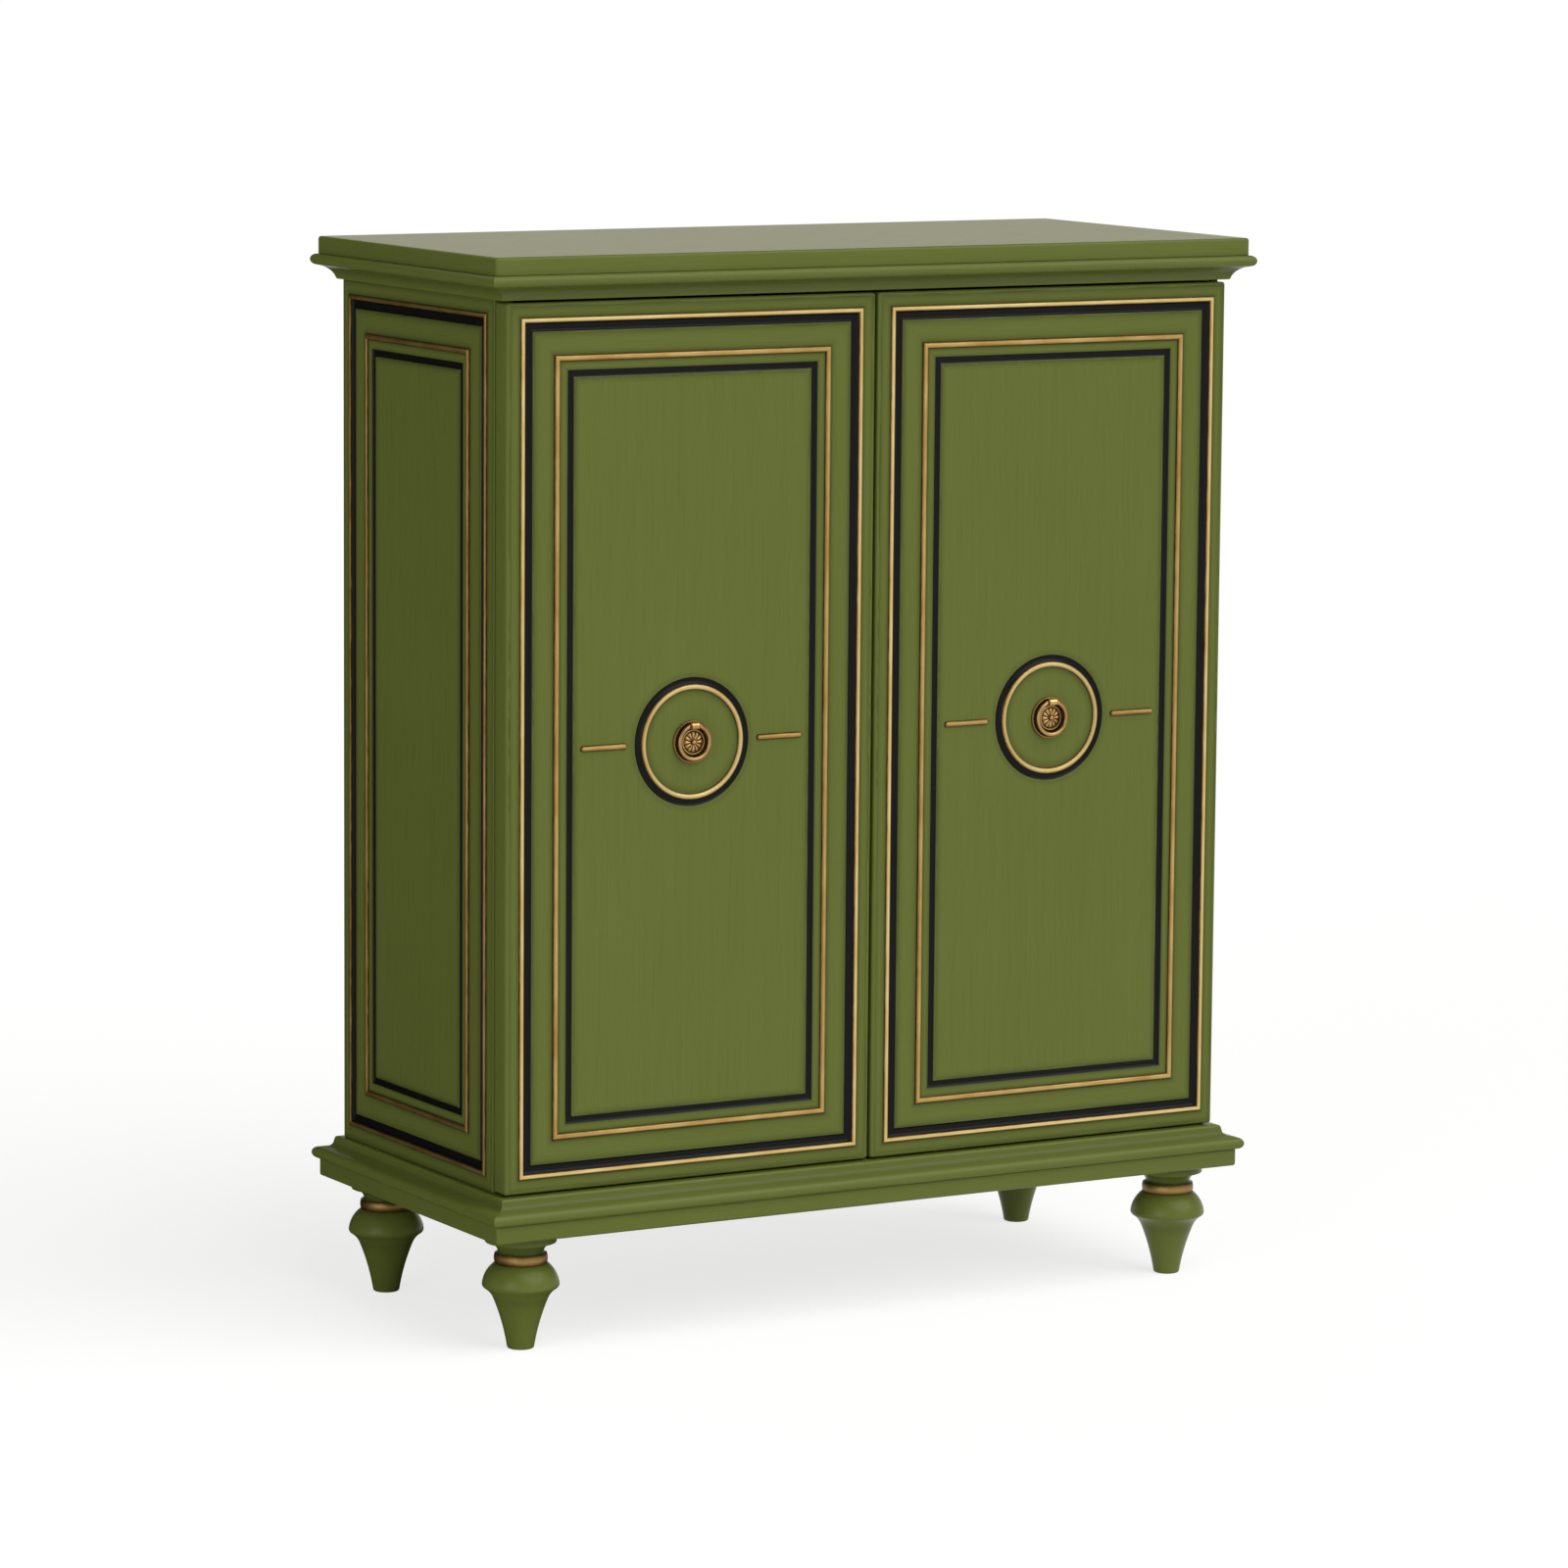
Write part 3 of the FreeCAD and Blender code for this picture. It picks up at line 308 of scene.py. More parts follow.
# %% [markdown]
# Three ways of laying out points are enough for the whole cabinet: an arc of a section, a rounded
# rectangle for each row of a section that runs round a board, and a profile carried round an axis as on a
# lathe.

# %% Arcs, loops and turning


def arc(start, end, turn, steps):
    """Points on the arc from start to end that turns left by these degrees: a ray swung round a centre."""
    first, last, angle = complex(*start), complex(*end), np.radians(turn)
    centre = (first + last) / 2 + 1j * (last - first) / (2 * np.tan(angle / 2))
    swing = centre + (first - centre) * np.exp(1j * angle * np.linspace(0, 1, steps + 1))
    return stacked(swing.real, swing.imag)


def rounded_loops(low, high, inset, radius, up_shares=(), across_shares=(), corner_steps=0):
    """One rounded rectangle for each row: four quarter circles, with straight runs cut at the given shares.

    A row lies inside the corners low and high by its inset. Its loop starts under the right side and goes
    round by the right, top, left and bottom. Returns the points, and for each step round the loop whether
    it belongs to an upright member.
    """
    inset, radius = (np.reshape(size, (-1, 1)) for size in np.broadcast_arrays(inset, radius))
    left, bottom = np.hsplit(low + inset, 2)
    right, top = np.hsplit(high - inset, 2)
    middles = ((right - radius, bottom + radius), (right - radius, top - radius),
               (left + radius, top - radius), (left + radius, bottom + radius))
    swing = np.linspace(0, np.pi / 2, corner_steps + 1)[None, :]
    arcs = [stacked(x + radius * np.cos(swing + start), y + radius * np.sin(swing + start))
            for (x, y), start in zip(middles, np.radians((-90, 0, 90, 180)))]
    runs, upright = [], []
    for number, corner in enumerate(arcs):
        rises = number % 2 == 0
        share = np.asarray(up_shares if rises else across_shares, float)[None, :, None]
        runs += [corner, corner[:, -1:] * (1 - share) + arcs[(number + 1) % 4][:, :1] * share]
        upright += [not rises] * (corner_steps // 2) + [rises] * (corner_steps - corner_steps // 2)
        upright += [rises] * (share.size + 1)
    return np.concatenate(runs, axis=1), np.array(upright)


def turned(profile, steps):
    """A profile of distances from an axis and places along it, carried round the axis in equal steps."""
    angle = np.linspace(0, 2 * np.pi, steps, endpoint=False)[None, :]
    reach, along = profile[:, :1], profile[:, 1:]
    return stacked(reach * np.cos(angle), reach * np.sin(angle), along)


def lifted(loops, height):
    """Flat loops of points, with each row at a height of its own."""
    return stacked(loops[..., 0], loops[..., 1], height[:, None])


print("a quarter circle in 2 steps:", np.round(arc((1, 0), (0, 1), 90, 2), 3).tolist())

# %% [markdown]
# ## Where the decorated boards stand
# Doors and sides are decorated alike, so each board gets a small frame of its own: right and up along its
# face and out from it, with the origin in the middle of the face. A piece is worked out once in that
# frame, and lands on any board.

# %% Board frames
BOARD_AXES = {"left_door": ((1, 0, 0), (0, -1, 0)), "right_door": ((1, 0, 0), (0, -1, 0)),
              "left_side": ((0, -1, 0), (-1, 0, 0)), "right_side": ((0, 1, 0), (1, 0, 0))}
UP = np.array([0.0, 0.0, 1.0])


def box_of(node):
    """The low and high corners of a node's box, as arrays."""
    low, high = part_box(node)
    return np.array(low), np.array(high)


def board_frame(name):
    """The board's axes, the centre of its face, half its width and height, its thickness and its body."""
    right, out = (np.array(axis, float) for axis in BOARD_AXES[name])
    low, high = box_of(f"{name}_panel")
    thickness = abs((high - low) @ out)
    return dict(name=name, axes=np.stack([right, UP, out]), centre=(low + high) / 2 + out * thickness / 2,
                half=np.array([abs((high - low) @ right), (high - low)[2]]) / 2, thickness=thickness,
                body="case" if name.endswith("side") else name)


def from_board(board, local):
    """Points given across, up and out from the middle of a board's face, in the cabinet's frame."""
    return np.asarray(local) @ board["axes"] + board["centre"]


def add_to_board(board, name, local, faces, material, replaced=(), glaze_and_shade=0.0, stroke=(0.0, 0.0, 0.0)):
    """A piece given in a board's own frame, on the board's body, with the board's name before its own."""
    add_piece(f"{board['name']}_{name}", from_board(board, local), faces, material, board["body"],
              [f"{board['name']}_{node}" for node in replaced], glaze_and_shade, stroke)


def inset_of(board, strip):
    """How far in from the board's edge a frame of strips starts."""
    return box_of(f"{board['name']}_panel")[1][2] - box_of(f"{board['name']}_{strip}")[1][2]


def ring_radius(board, ring):
    """Outer radius of a ring of the roundel."""
    low, high = box_of(f"{board['name']}_{ring}")
    return (high - low)[2] / 2


boards = {name: board_frame(name) for name in BOARD_AXES}
doors = [boards["left_door"], boards["right_door"]]
for name, board in boards.items():
    print(name, "face", np.round(board["centre"], 4), "half size", board["half"])

# %% [markdown]
# ## Doors and sides
# Each board has an eased edge, a flat border, two grooves for the black strips and a flat middle; a door
# also has a round groove for its roundel. Cutting the grooves with booleans would leave hard edges.
# Instead the section of the board, from its back round its edge to its middle, is carried round the
# rectangle, so every edge can be softened, and the innermost rows turn from rectangles into circles round
# the roundel. Each row is an inset from the board's edge, a height over its face and a darkness: glaze,
# and painted shade beside the strips and at the lips of the grooves.

# %% Section of a board
OUTER_BEAD_WIDTH, INNER_BEAD_WIDTH = 5.4 * MM, 6.4 * MM
COVE_WIDTH, LINE_WIDTH = 8.8 * MM, 7.0 * MM
GROOVE_DEPTH = 4.5 * MM
LIP_EASE = 0.9 * MM
DOOR_EASE, SIDE_EASE, BACK_EASE = 3.0 * MM, 1.2 * MM, 1.2 * MM
GLAZE_REACH = 7 * MM
REBATE_WIDTH, REBATE_DEPTH = 6 * MM, 10 * MM


def flat_rows(start, end):
    """A flat stretch between two insets, with glaze and painted shade at its ends that thin out to its
    middle.
    """
    reach = min(GLAZE_REACH, (end - start) / 2)
    shares = np.array([0, 0.2, 0.5, 1.0])
    inset = np.concatenate([start + reach * shares, end - reach * shares[::-1]])
    left = np.concatenate([(1 - shares) ** 2, (1 - shares[::-1]) ** 2])
    return stacked(inset, 0.0, left)


def groove_rows(start, end):
    """A groove with a square floor, whose inner lip is eased by a quarter circle."""
    lip = arc((end, -LIP_EASE), (end + LIP_EASE, 0), -90, 4)
    walls = np.array([(start, 0), (start, -GROOVE_DEPTH), (end, -GROOVE_DEPTH)])
    section = np.concatenate([walls, lip])
    # Glaze and painted shade on the lip, darkest at the groove's edge.
    return np.column_stack([section, np.concatenate([[1, 1, 1], np.linspace(1, 0.2, len(lip))])])


def edge_rows(thickness, ease, rebated):
    """A board's back, its eased back edge, two rows for the step of a rebate, and its eased front edge."""
    back = arc((BACK_EASE, -thickness), (0, BACK_EASE - thickness), -90, 4)
    step = np.array([(0, -REBATE_DEPTH - MERGE_DISTANCE), (0, -REBATE_DEPTH)])
    front = arc((0, -ease), (ease, 0), -90, 6)
    section = np.concatenate([[(4 * BACK_EASE, -thickness)], back, step if rebated else step[:0], front])
    return np.column_stack([section, np.zeros(len(section))])


def board_section(board, ease, rebated):
    """The rows from the middle of a board's back to its black line, and those round its middle panel."""
    cove, line = inset_of(board, "black_cove"), inset_of(board, "black_line")
    bead = inset_of(board, "inner_gilt_bead")
    middle = line + LINE_WIDTH + LIP_EASE
    rows = [edge_rows(board["thickness"], ease, rebated), flat_rows(ease, cove - OUTER_BEAD_WIDTH),
            groove_rows(cove, cove + COVE_WIDTH), flat_rows(cove + COVE_WIDTH + LIP_EASE, bead),
            flat_rows(bead + INNER_BEAD_WIDTH, line), groove_rows(line, line + LINE_WIDTH)]
    return np.concatenate(rows), flat_rows(middle, middle + 2 * GLAZE_REACH)[:4]


def roundel_rows(board):
    """Radius, height, and glaze with painted shade, of the rows round the roundel: flat, eased lip, groove,
    middle.
    """
    outer, inner = ring_radius(board, "black_ring"), ring_radius(board, "gilt_ring")
    flat = [(outer + GLAZE_REACH, 0), (outer + GLAZE_REACH / 3, 0)]
    lip = arc((outer + LIP_EASE, 0), (outer, -LIP_EASE), 90, 4)
    groove = [(outer, -GROOVE_DEPTH), (inner, -GROOVE_DEPTH), (inner, 0), (inner - GLAZE_REACH, 0),
              (inner - 2 * GLAZE_REACH, 0)]
    # Glaze and painted shade: dark on the lip and in the groove, thinning out on the flats.
    glaze_and_shade = [0, 0.4, *np.linspace(0.2, 1, 5), 1, 1, 1, 0.6, 0]
    return np.column_stack([np.concatenate([flat, lip, groove]), glaze_and_shade])


print("rows of a side:", len(board_section(boards["left_side"], SIDE_EASE, True)[0]))

# %% [markdown]
# The loops of a door must meet its circles point for point, so its straight runs are cut where the middle
# of the door sees them at equal angles. A side has no circles and needs only its corners. Behind, it has
# a rebate for the back panel, which moves the back edge of the rows that lie behind the step.

# %% Board surfaces
CORNER_ROUND = 0.25 * MM
CORNER_STEPS = 6
ROUNDEL_STEP = 2.5
BUSH_PROUD = 0.05 * MM


def even_angles(half_width, half_height):
    """Shares along the upright and level sides of a rectangle that its centre sees at equal angles."""
    corner = np.degrees(np.arctan2(half_height, half_width))
    shares = []
    for limit, near, half in ((corner, half_width, half_height), (90 - corner, half_height, half_width)):
        angle = np.linspace(-limit, limit, int(2 * limit / ROUNDEL_STEP))[1:-1]
        shares.append((np.tan(np.radians(angle)) * near / half + 1) / 2)
    return shares


def board_loops(board, section, ease, shares, rebated):
    """A rounded rectangle for each row of a board's section."""
    inset, height = section[:, 0], section[:, 1]
    high = np.tile(board["half"] - (0, 0 if rebated else BUSH_PROUD), (len(section), 1))
    low = -high
    cut = np.where(height < -REBATE_DEPTH, REBATE_WIDTH, 0.0) * rebated
    if board["name"] == "left_side":
        low[:, 0] += cut
    else:
        high[:, 0] -= cut
    return rounded_loops(low, high, inset, np.maximum(ease - inset, CORNER_ROUND), *shares, CORNER_STEPS)


def finish_board(board):
    """Carries a board's section round its rectangle and, on a door, on into circles round the roundel."""
    is_door = board["body"] != "case"
    ease = DOOR_EASE if is_door else SIDE_EASE
    framing, middle = board_section(board, ease, not is_door)
    section = np.concatenate([framing, middle])
    inner = section[-1, 0]
    shares = even_angles(*(board["half"] - inner)) if is_door else ((), ())
    loops, upright = board_loops(board, section, ease, shares, not is_door)
    if is_door:
        circles = roundel_rows(board)
        way = np.arctan2(loops[-1, :, 1], loops[-1, :, 0])
        rings = circles[:, :1, None] * stacked(np.cos(way), np.sin(way))
        loops = np.concatenate([loops, rings])
        section = np.concatenate([section, circles])
    rows, columns = loops.shape[:2]
    stroke = np.where(upright[None, :, None], UP, board["axes"][0]) * np.ones((rows - 1, 1, 1))
    stroke[len(framing) - 1:] = UP
    add_to_board(board, "board", lifted(loops, section[:, 1]), tube_faces(rows, columns), green_paint,
                 ["panel"], section[:, 2], np.concatenate([stroke.reshape(-1, 3), [UP, UP]]))


for board in boards.values():
    finish_board(board)

# %% [markdown]
# ## Gilt beads and black hollows
# Round the face of every board run two half-round gilt beads and two black strips with a hollow face, all
# mitred at the corners. A bevelled curve would round the mitres off, so the section of each strip is
# carried round a sharp rectangle, four points to a row. The foot of a bead is brown and both edges of a
# hollow are darker: glaze and painted shade where the strips meet the board.

# %% Strip frames
BEAD_SEAT = 0.4 * MM
BEAD_RISE = 0.46
BROWN_FALL = 0.6
STRIP_PLAY = 0.02 * MM


def bead_section(width, near_brown, far_brown, crown_stain):
    """A half ellipse on a short foot: distance across, height, and glaze with painted shade at the edges,
    thin at the crown.
    """
    swing = np.linspace(0, np.pi, 17)
    # The brown at both edges is glaze and painted shade where the bead meets the board.
    edge_brown = np.where(swing < np.pi / 2, near_brown, far_brown) * (1 - np.sin(swing)) ** BROWN_FALL
    glaze_and_shade = np.clip(crown_stain + edge_brown, 0, 1)
    crown = stacked(width / 2 * (1 - np.cos(swing)), BEAD_RISE * width * np.sin(swing), glaze_and_shade)
    return np.concatenate([crown, [(width, -BEAD_SEAT, 1), (0, -BEAD_SEAT, 1)]])


def hollow_section(width, turn):
    """A hollow arc between the walls of a groove, lower at its inner edge by the lip's ease, on a bed."""
    near, far = STRIP_PLAY, width - STRIP_PLAY
    hollow = arc((near, -0.3 * LIP_EASE), (far, -LIP_EASE), turn, 12)
    # Glaze and painted shade: the hollow darkens towards both edges.
    glaze_and_shade = np.abs(np.linspace(-1, 1, len(hollow))) ** 3
    bed = [(far, STRIP_PLAY - GROOVE_DEPTH, 1), (near, STRIP_PLAY - GROOVE_DEPTH, 1)]
    return np.concatenate([np.column_stack([hollow, glaze_and_shade]), bed])


def strip_frame(board, strip, section, material):
    """A strip's closed section carried round a rectangle with sharp corners."""
    inset = inset_of(board, strip) + section[:, 0]
    loops, upright = rounded_loops(-board["half"], board["half"], inset, 0.0)
    stroke = np.where(upright[:, None], UP, board["axes"][0])
    add_to_board(board, f"{strip}_strip", lifted(loops, section[:, 1]),
                 grid_quads(len(section), 4, wrap_rows=True), material, [strip], section[:, 2],
                 np.tile(stroke, (len(section), 1)))


for board in boards.values():
    # The outer beads of the sides take the darker gold: painted shade, as the sides get less light than the
    # doors.
    outer_gold = glazed_and_shaded_gilt if board["body"] == "case" else gilt
    strip_frame(board, "outer_gilt_bead", bead_section(OUTER_BEAD_WIDTH, 1.3, 1.4, 0.0), outer_gold)
    strip_frame(board, "black_cove", hollow_section(COVE_WIDTH, 105), black_paint)
    strip_frame(board, "inner_gilt_bead", bead_section(INNER_BEAD_WIDTH, 1.2, 1.1, 0.05), glazed_and_shaded_gilt)
    strip_frame(board, "black_line", hollow_section(LINE_WIDTH, 90), black_paint)

# %% [markdown]
# ## Roundels
# In the middle of each door a gilt half-round ring lies inside a black hollow one, with a short gilt dash
# to its left and right. They repeat the sections of the strips, only carried round a circle. A dash is a
# half-round rod with round ends: loops that shrink as they rise, each a rectangle with fully rounded
# ends.

# %% Rings and dashes
ROUNDEL_STEPS = 144
GILT_RING_WIDTH = 6.2 * MM
DASH_SHARE = 0.13
DASH_RISE = 0.92


def ring_piece(board, ring, section, start, material):
    """A closed section carried round the middle of a door, from a radius outwards."""
    points = turned(section[:, :2] + (start, 0), ROUNDEL_STEPS)
    add_to_board(board, f"{ring}_turned", points, grid_quads(len(section), ROUNDEL_STEPS, wrap_rows=True),
                 material, [ring], section[:, 2])


def dash_piece(board):
    """Two half-round rods with round ends, one on each side of the roundel."""
    low, high = box_of(f"{board['name']}_gilt_dashes")
    half_width, far = (high - low)[2] / 2, (high - low)[0] / 2
    roundel = ring_radius(board, "black_ring")
    panel_edge = board["half"][0] - inset_of(board, "black_line") - LINE_WIDTH
    near = roundel + DASH_SHARE * (panel_edge - roundel)
    end = np.array([(far - near) / 2 - half_width, 0])
    swing = np.linspace(0, np.pi / 2, 9)
    reach = half_width * np.concatenate([[1], np.cos(swing)])
    height = np.concatenate([[-BEAD_SEAT], DASH_RISE * half_width * np.sin(swing)])
    # Glaze and painted shade: brown towards the foot of each dash.
    glaze_and_shade = np.clip(np.concatenate([[1], 0.2 + 1.1 * (1 - np.sin(swing)) ** BROWN_FALL]), 0, 1)
    loops, _ = rounded_loops(-end, end, -reach, reach, corner_steps=8)
    rows, columns = loops.shape[:2]
    middle = np.array([(far + near) / 2, 0])
    points = [lifted(loops + side * middle, height) for side in (-1, 1)]
    faces = tube_faces(rows, columns, close_end=False)
    both = faces + [[corner + rows * columns for corner in face] for face in faces]
    add_to_board(board, "dashes", points, both, glazed_and_shaded_gilt, ["gilt_dashes"], np.tile(glaze_and_shade, 2),
                 board["axes"][0])


for door in doors:
    gilt_edge, black_edge = ring_radius(door, "gilt_ring"), ring_radius(door, "black_ring")
    gilt_section = bead_section(GILT_RING_WIDTH, 1.0, 1.3, 0.15)
    ring_piece(door, "gilt_ring", gilt_section, gilt_edge - GILT_RING_WIDTH, gilt)
    ring_piece(door, "black_ring", hollow_section(black_edge - gilt_edge, 90), gilt_edge, black_paint)
    dash_piece(door)

# %% [markdown]
# ## Slabs and inside boards
# The top slab and the base board have eased edges. Behind the doors are plain boards: top, bottom, back
# and two shelves, cut square with the edges just broken. One surface serves for all of them: quarter
# circles at the lower, upper and upright edges of the board's box, large on the slabs and very small
# inside.

# %% Slabs
SLAB_EASE, SLAB_BACK_EASE = 3.0 * MM, 0.8 * MM
BROKEN_EDGE = 0.6 * MM
FLAT_GUARD = 6 * MM
ALONG, ACROSS = (1, 0, 0), (0, 1, 0)


def eased_slab(name, node, low_ease, high_ease, corner, stroke, material=green_paint):
    """A board from the frame's box with quarter circles at its lower, upper and upright edges."""
    low, high = box_of(node)
    bottom = arc((low_ease, low[2]), (0, low[2] + low_ease), -90, 5)
    top = arc((0, high[2] - high_ease), (high_ease, high[2]), -90, 5)
    section = np.concatenate([[(FLAT_GUARD, low[2])], bottom, top, [(FLAT_GUARD, high[2])]])
    inset = section[:, 0]
    radius = np.maximum(corner - inset, CORNER_ROUND)
    loops, _ = rounded_loops(low[:2], high[:2], inset, radius, corner_steps=CORNER_STEPS)
    add_piece(name, lifted(loops, section[:, 1]), tube_faces(*loops.shape[:2]), material, "case", [node],
              stroke=stroke)


eased_slab("top_slab_eased", "top_slab", SLAB_BACK_EASE, SLAB_EASE, SLAB_EASE, ALONG)
eased_slab("base_board_eased", "base_board", SLAB_EASE, SLAB_BACK_EASE, SLAB_EASE, ALONG)
for node, stroke, paint in (("case_top", ALONG, green_paint), ("case_bottom", ALONG, green_paint),
                            ("back_panel", UP, inside_paint), ("lower_shelf", ALONG, inside_paint),
                            ("upper_shelf", ALONG, inside_paint)):
    eased_slab(f"{node}_broken", node, BROKEN_EDGE, BROKEN_EDGE, BROKEN_EDGE, stroke, paint)

# %% [markdown]
# ## Cornice and base moulding
# Between the slabs and the box run two mouldings, the lower one much like the upper one turned over: a
# round nose, a long hollow and a small ledge. The real lengths are cut from one stick and mitred, so one
# section is carried round the box and then parted at the corners into four pieces.

# %% Mouldings
SLAB_OVERHANG = 20.0 * MM


def moulding_section(kind, nose_end, hollow_start, hollow_end, hollow_turn, fillet, ledge):
    """Reach from the box, distance from the slab, and glaze with painted shade: nose, run, hollow, riser and
    ledge, in mm.
    """
    low, high = box_of(f"{kind}_front")
    height = high[2] - low[2]
    nose = arc((SLAB_OVERHANG, 0), np.array(nose_end) * MM, 174, 14)
    hollow = arc(np.array(hollow_start) * MM, np.array(hollow_end) * MM, hollow_turn, 12)
    edge = arc((fillet * MM, height - ledge * MM), ((fillet - ledge) * MM, height), 90, 5)
    section = np.concatenate([[(0, 0)], nose, hollow, edge, [(0, height)]])
    # Dark at the joints with the slab and the box, and painted shade in the middle of the hollow.
    deep = 0.5 * np.sin(np.pi * np.linspace(0.1, 0.9, 13))
    glaze_and_shade = np.concatenate([[1, 1, 0.6], np.zeros(13), deep, [0.2], np.zeros(5), [1]])
    return np.column_stack([section, glaze_and_shade])


def moulding(kind, section, slab_face, way):
    """A closed section carried round the box, up or down from a slab's face, and parted at its corners."""
    low = np.array([box_of(f"{kind}_left")[0][0], box_of(f"{kind}_front")[0][1]])
    high = np.array([box_of(f"{kind}_right")[1][0], box_of(f"{kind}_back")[1][1]])
    inset = section[:, 0].max() - section[:, 0]
    loops, _ = rounded_loops(low, high, inset, 0.0)
    points = lifted(loops, slab_face + way * section[:, 1])
    quads = grid_quads(len(section), 2, wrap_rows=True, wrap_columns=False).tolist()
    ends = [list(range(end, 2 * len(section), 2)) for end in (0, 1)]
    for number, side in enumerate(("right", "back", "left", "front")):
        length = points[:, [number, (number + 1) % 4]]
        stroke = ACROSS if side in ("left", "right") else ALONG
        add_piece(f"{kind}_{side}_length", length, quads + ends, green_paint, "case", [f"{kind}_{side}"],
                  section[:, 2], stroke)


cornice = moulding_section("cornice", (20.7, 11.6), (20.2, 11.8), (5.8, 23.6), -64, 5.4, 1.5)
moulding("cornice", cornice, box_of("top_slab")[0][2], -1)
base = moulding_section("base_moulding", (21.0, 12.8), (13.0, 14.2), (8.9, 19.6), -58, 8.2, 3.0)
moulding("base_moulding", base, box_of("base_board")[1][2], 1)

# %% [markdown]
# ## Turned feet
# Each foot is turned from one blank: a flange under the base board, a hollow neck, a gilt band, a round
# shoulder and a tapering leg on a small toe. It is a profile of arcs carried round an axis. The band is
# gilded separately, so it is a piece of its own, slightly round in section, over a plain core.

# %% Feet
FOOT_STEPS = 96
# Radius and height of the places where the arcs of a foot meet, in millimetres, from the floor up.
SOLE, TOE, LEG_TOP = (11.7, 0), (14.2, 2.5), (28.4, 52.8)
BULB_LOW, BULB_HIGH, SHOULDER_TOP = (37.9, 64.0), (40.0, 68.4), (27.4, 90.0)
CORE_LOW, CORE_HIGH = (26.2, 90.0), (26.2, 100.4)
NECK_LOW, NECK_HIGH = (23.8, 102.4), (23.8, 102.8)
FLANGE_LOW, FLANGE_SIDE = (36.4, 112.0), (37.0, 112.6)
FOOT_TOP = 121.5
BAND_RADIUS, BAND_INSIDE, BAND_LOW, BAND_HIGH = 26.9, 25.5, 90.2, 100.2


def foot_profile():
    """Radius, height, and glaze with painted shade, up the foot, in arcs from the toe to the flange."""
    parts = ([(0, 0)], arc(SOLE, TOE, 90, 5), arc(TOE, LEG_TOP, -13, 14), arc(LEG_TOP, BULB_LOW, -36, 8),
             arc(BULB_LOW, BULB_HIGH, 66, 6), arc(BULB_HIGH, SHOULDER_TOP, 46, 14), [CORE_LOW],
             arc(CORE_HIGH, NECK_LOW, -50, 6), arc(NECK_HIGH, FLANGE_LOW, -74, 12),
             arc(FLANGE_LOW, FLANGE_SIDE, 80, 3), [(FLANGE_SIDE[0], FOOT_TOP), (0, FOOT_TOP)])
    # Painted shade: darker under the bulb, up to the band, on the neck and in the flange's hollow.
    glaze_and_shade = ([0], np.zeros(6), 0.5 * np.linspace(0, 1, 15) ** 6, np.linspace(0.5, 0, 9) ** 1.5,
             np.zeros(7), 0.8 * np.linspace(0, 1, 15) ** 8, [1],
             np.ones(7), np.linspace(0.7, 0, 13),
             np.zeros(4), [0.6, 0.6])
    return np.column_stack([np.concatenate(parts) * MM, np.concatenate(glaze_and_shade)])


def turned_foot(node):
    """The foot's profile round its own axis, and the gilt band round its neck."""
    low, high = box_of(node)
    spot = np.array([*((low + high) / 2)[:2], low[2]])
    profile = foot_profile()
    add_piece(f"{node}_turned", turned(profile[:, :2], FOOT_STEPS) + spot,
              grid_quads(len(profile), FOOT_STEPS), green_paint, "case", [node], profile[:, 2])
    crown = arc((BAND_RADIUS, BAND_LOW), (BAND_RADIUS, BAND_HIGH), 44, 10)
    band = np.concatenate([crown, [(BAND_INSIDE, BAND_HIGH), (BAND_INSIDE, BAND_LOW)]]) * MM
    # The band darkens towards both edges: glaze, and painted shade where it meets the foot.
    glaze_and_shade = np.concatenate([0.45 + 0.5 * np.abs(np.linspace(-1, 1, 11)) ** 1.5, [1, 1]])
    add_piece(f"{node}_gilt_band", turned(band, FOOT_STEPS) + spot,
              grid_quads(len(band), FOOT_STEPS, wrap_rows=True), glazed_and_shaded_gilt, "case", glaze_and_shade=glaze_and_shade)


for end in ("front", "back"):
    for side in ("left", "right"):
        turned_foot(f"foot_{end}_{side}")

# %% [markdown]
# ## Plates of the pulls
# A pull is a cast brass plate with a beaded rim, a rosette on a raised boss, and a knuckle at the top in
# which the ring hangs. The casting is too fine for the frame. Here the plate is turned, the petals are a
# height over a disc that waves with the angle, and the beads are one small ball set round the rim many
# times.

# %% Plates
PULL_STEPS, KNOB_STEPS = 96, 32
RIM_BEADS = 72
RIM_BEAD_RADIUS, RIM_BEAD_RING, RIM_BEAD_HEIGHT = 0.9 * MM, 21.3 * MM, 2.0 * MM
BALL_ROWS, BALL_COLUMNS = 6, 8
PETALS, PETAL_STEPS = 12, 12


def pull_plate(door):
    """A turned plate, in radius and height: a rim for the beads, a sunk ring, and a boss with a lip."""
    rim = arc((22.5, 1.0), (20.4, 1.6), 150, 8)
    lip = arc((13.4, 1.9), (11.6, 3.4), 165, 10)
    back = [(0, 0), (22.2, 0), (22.5, 0.3)]
    sunk = [(19.9, 1.2), (14.2, 1.2), (13.5, 1.4)]
    boss = [(11.2, 2.8), (0, 2.8)]
    profile = np.concatenate([back, rim, sunk, lip, boss]) * MM
    glaze_and_shade = np.concatenate([np.ones(3), np.linspace(0.8, 0.5, 9), np.ones(3),
                            np.linspace(-1, 1, 11) ** 2, np.ones(2)])
    add_to_board(door, "pull_plate_turned", turned(profile, PULL_STEPS),
                 grid_quads(len(profile), PULL_STEPS), aged_brass, ["pull_plate"], glaze_and_shade)


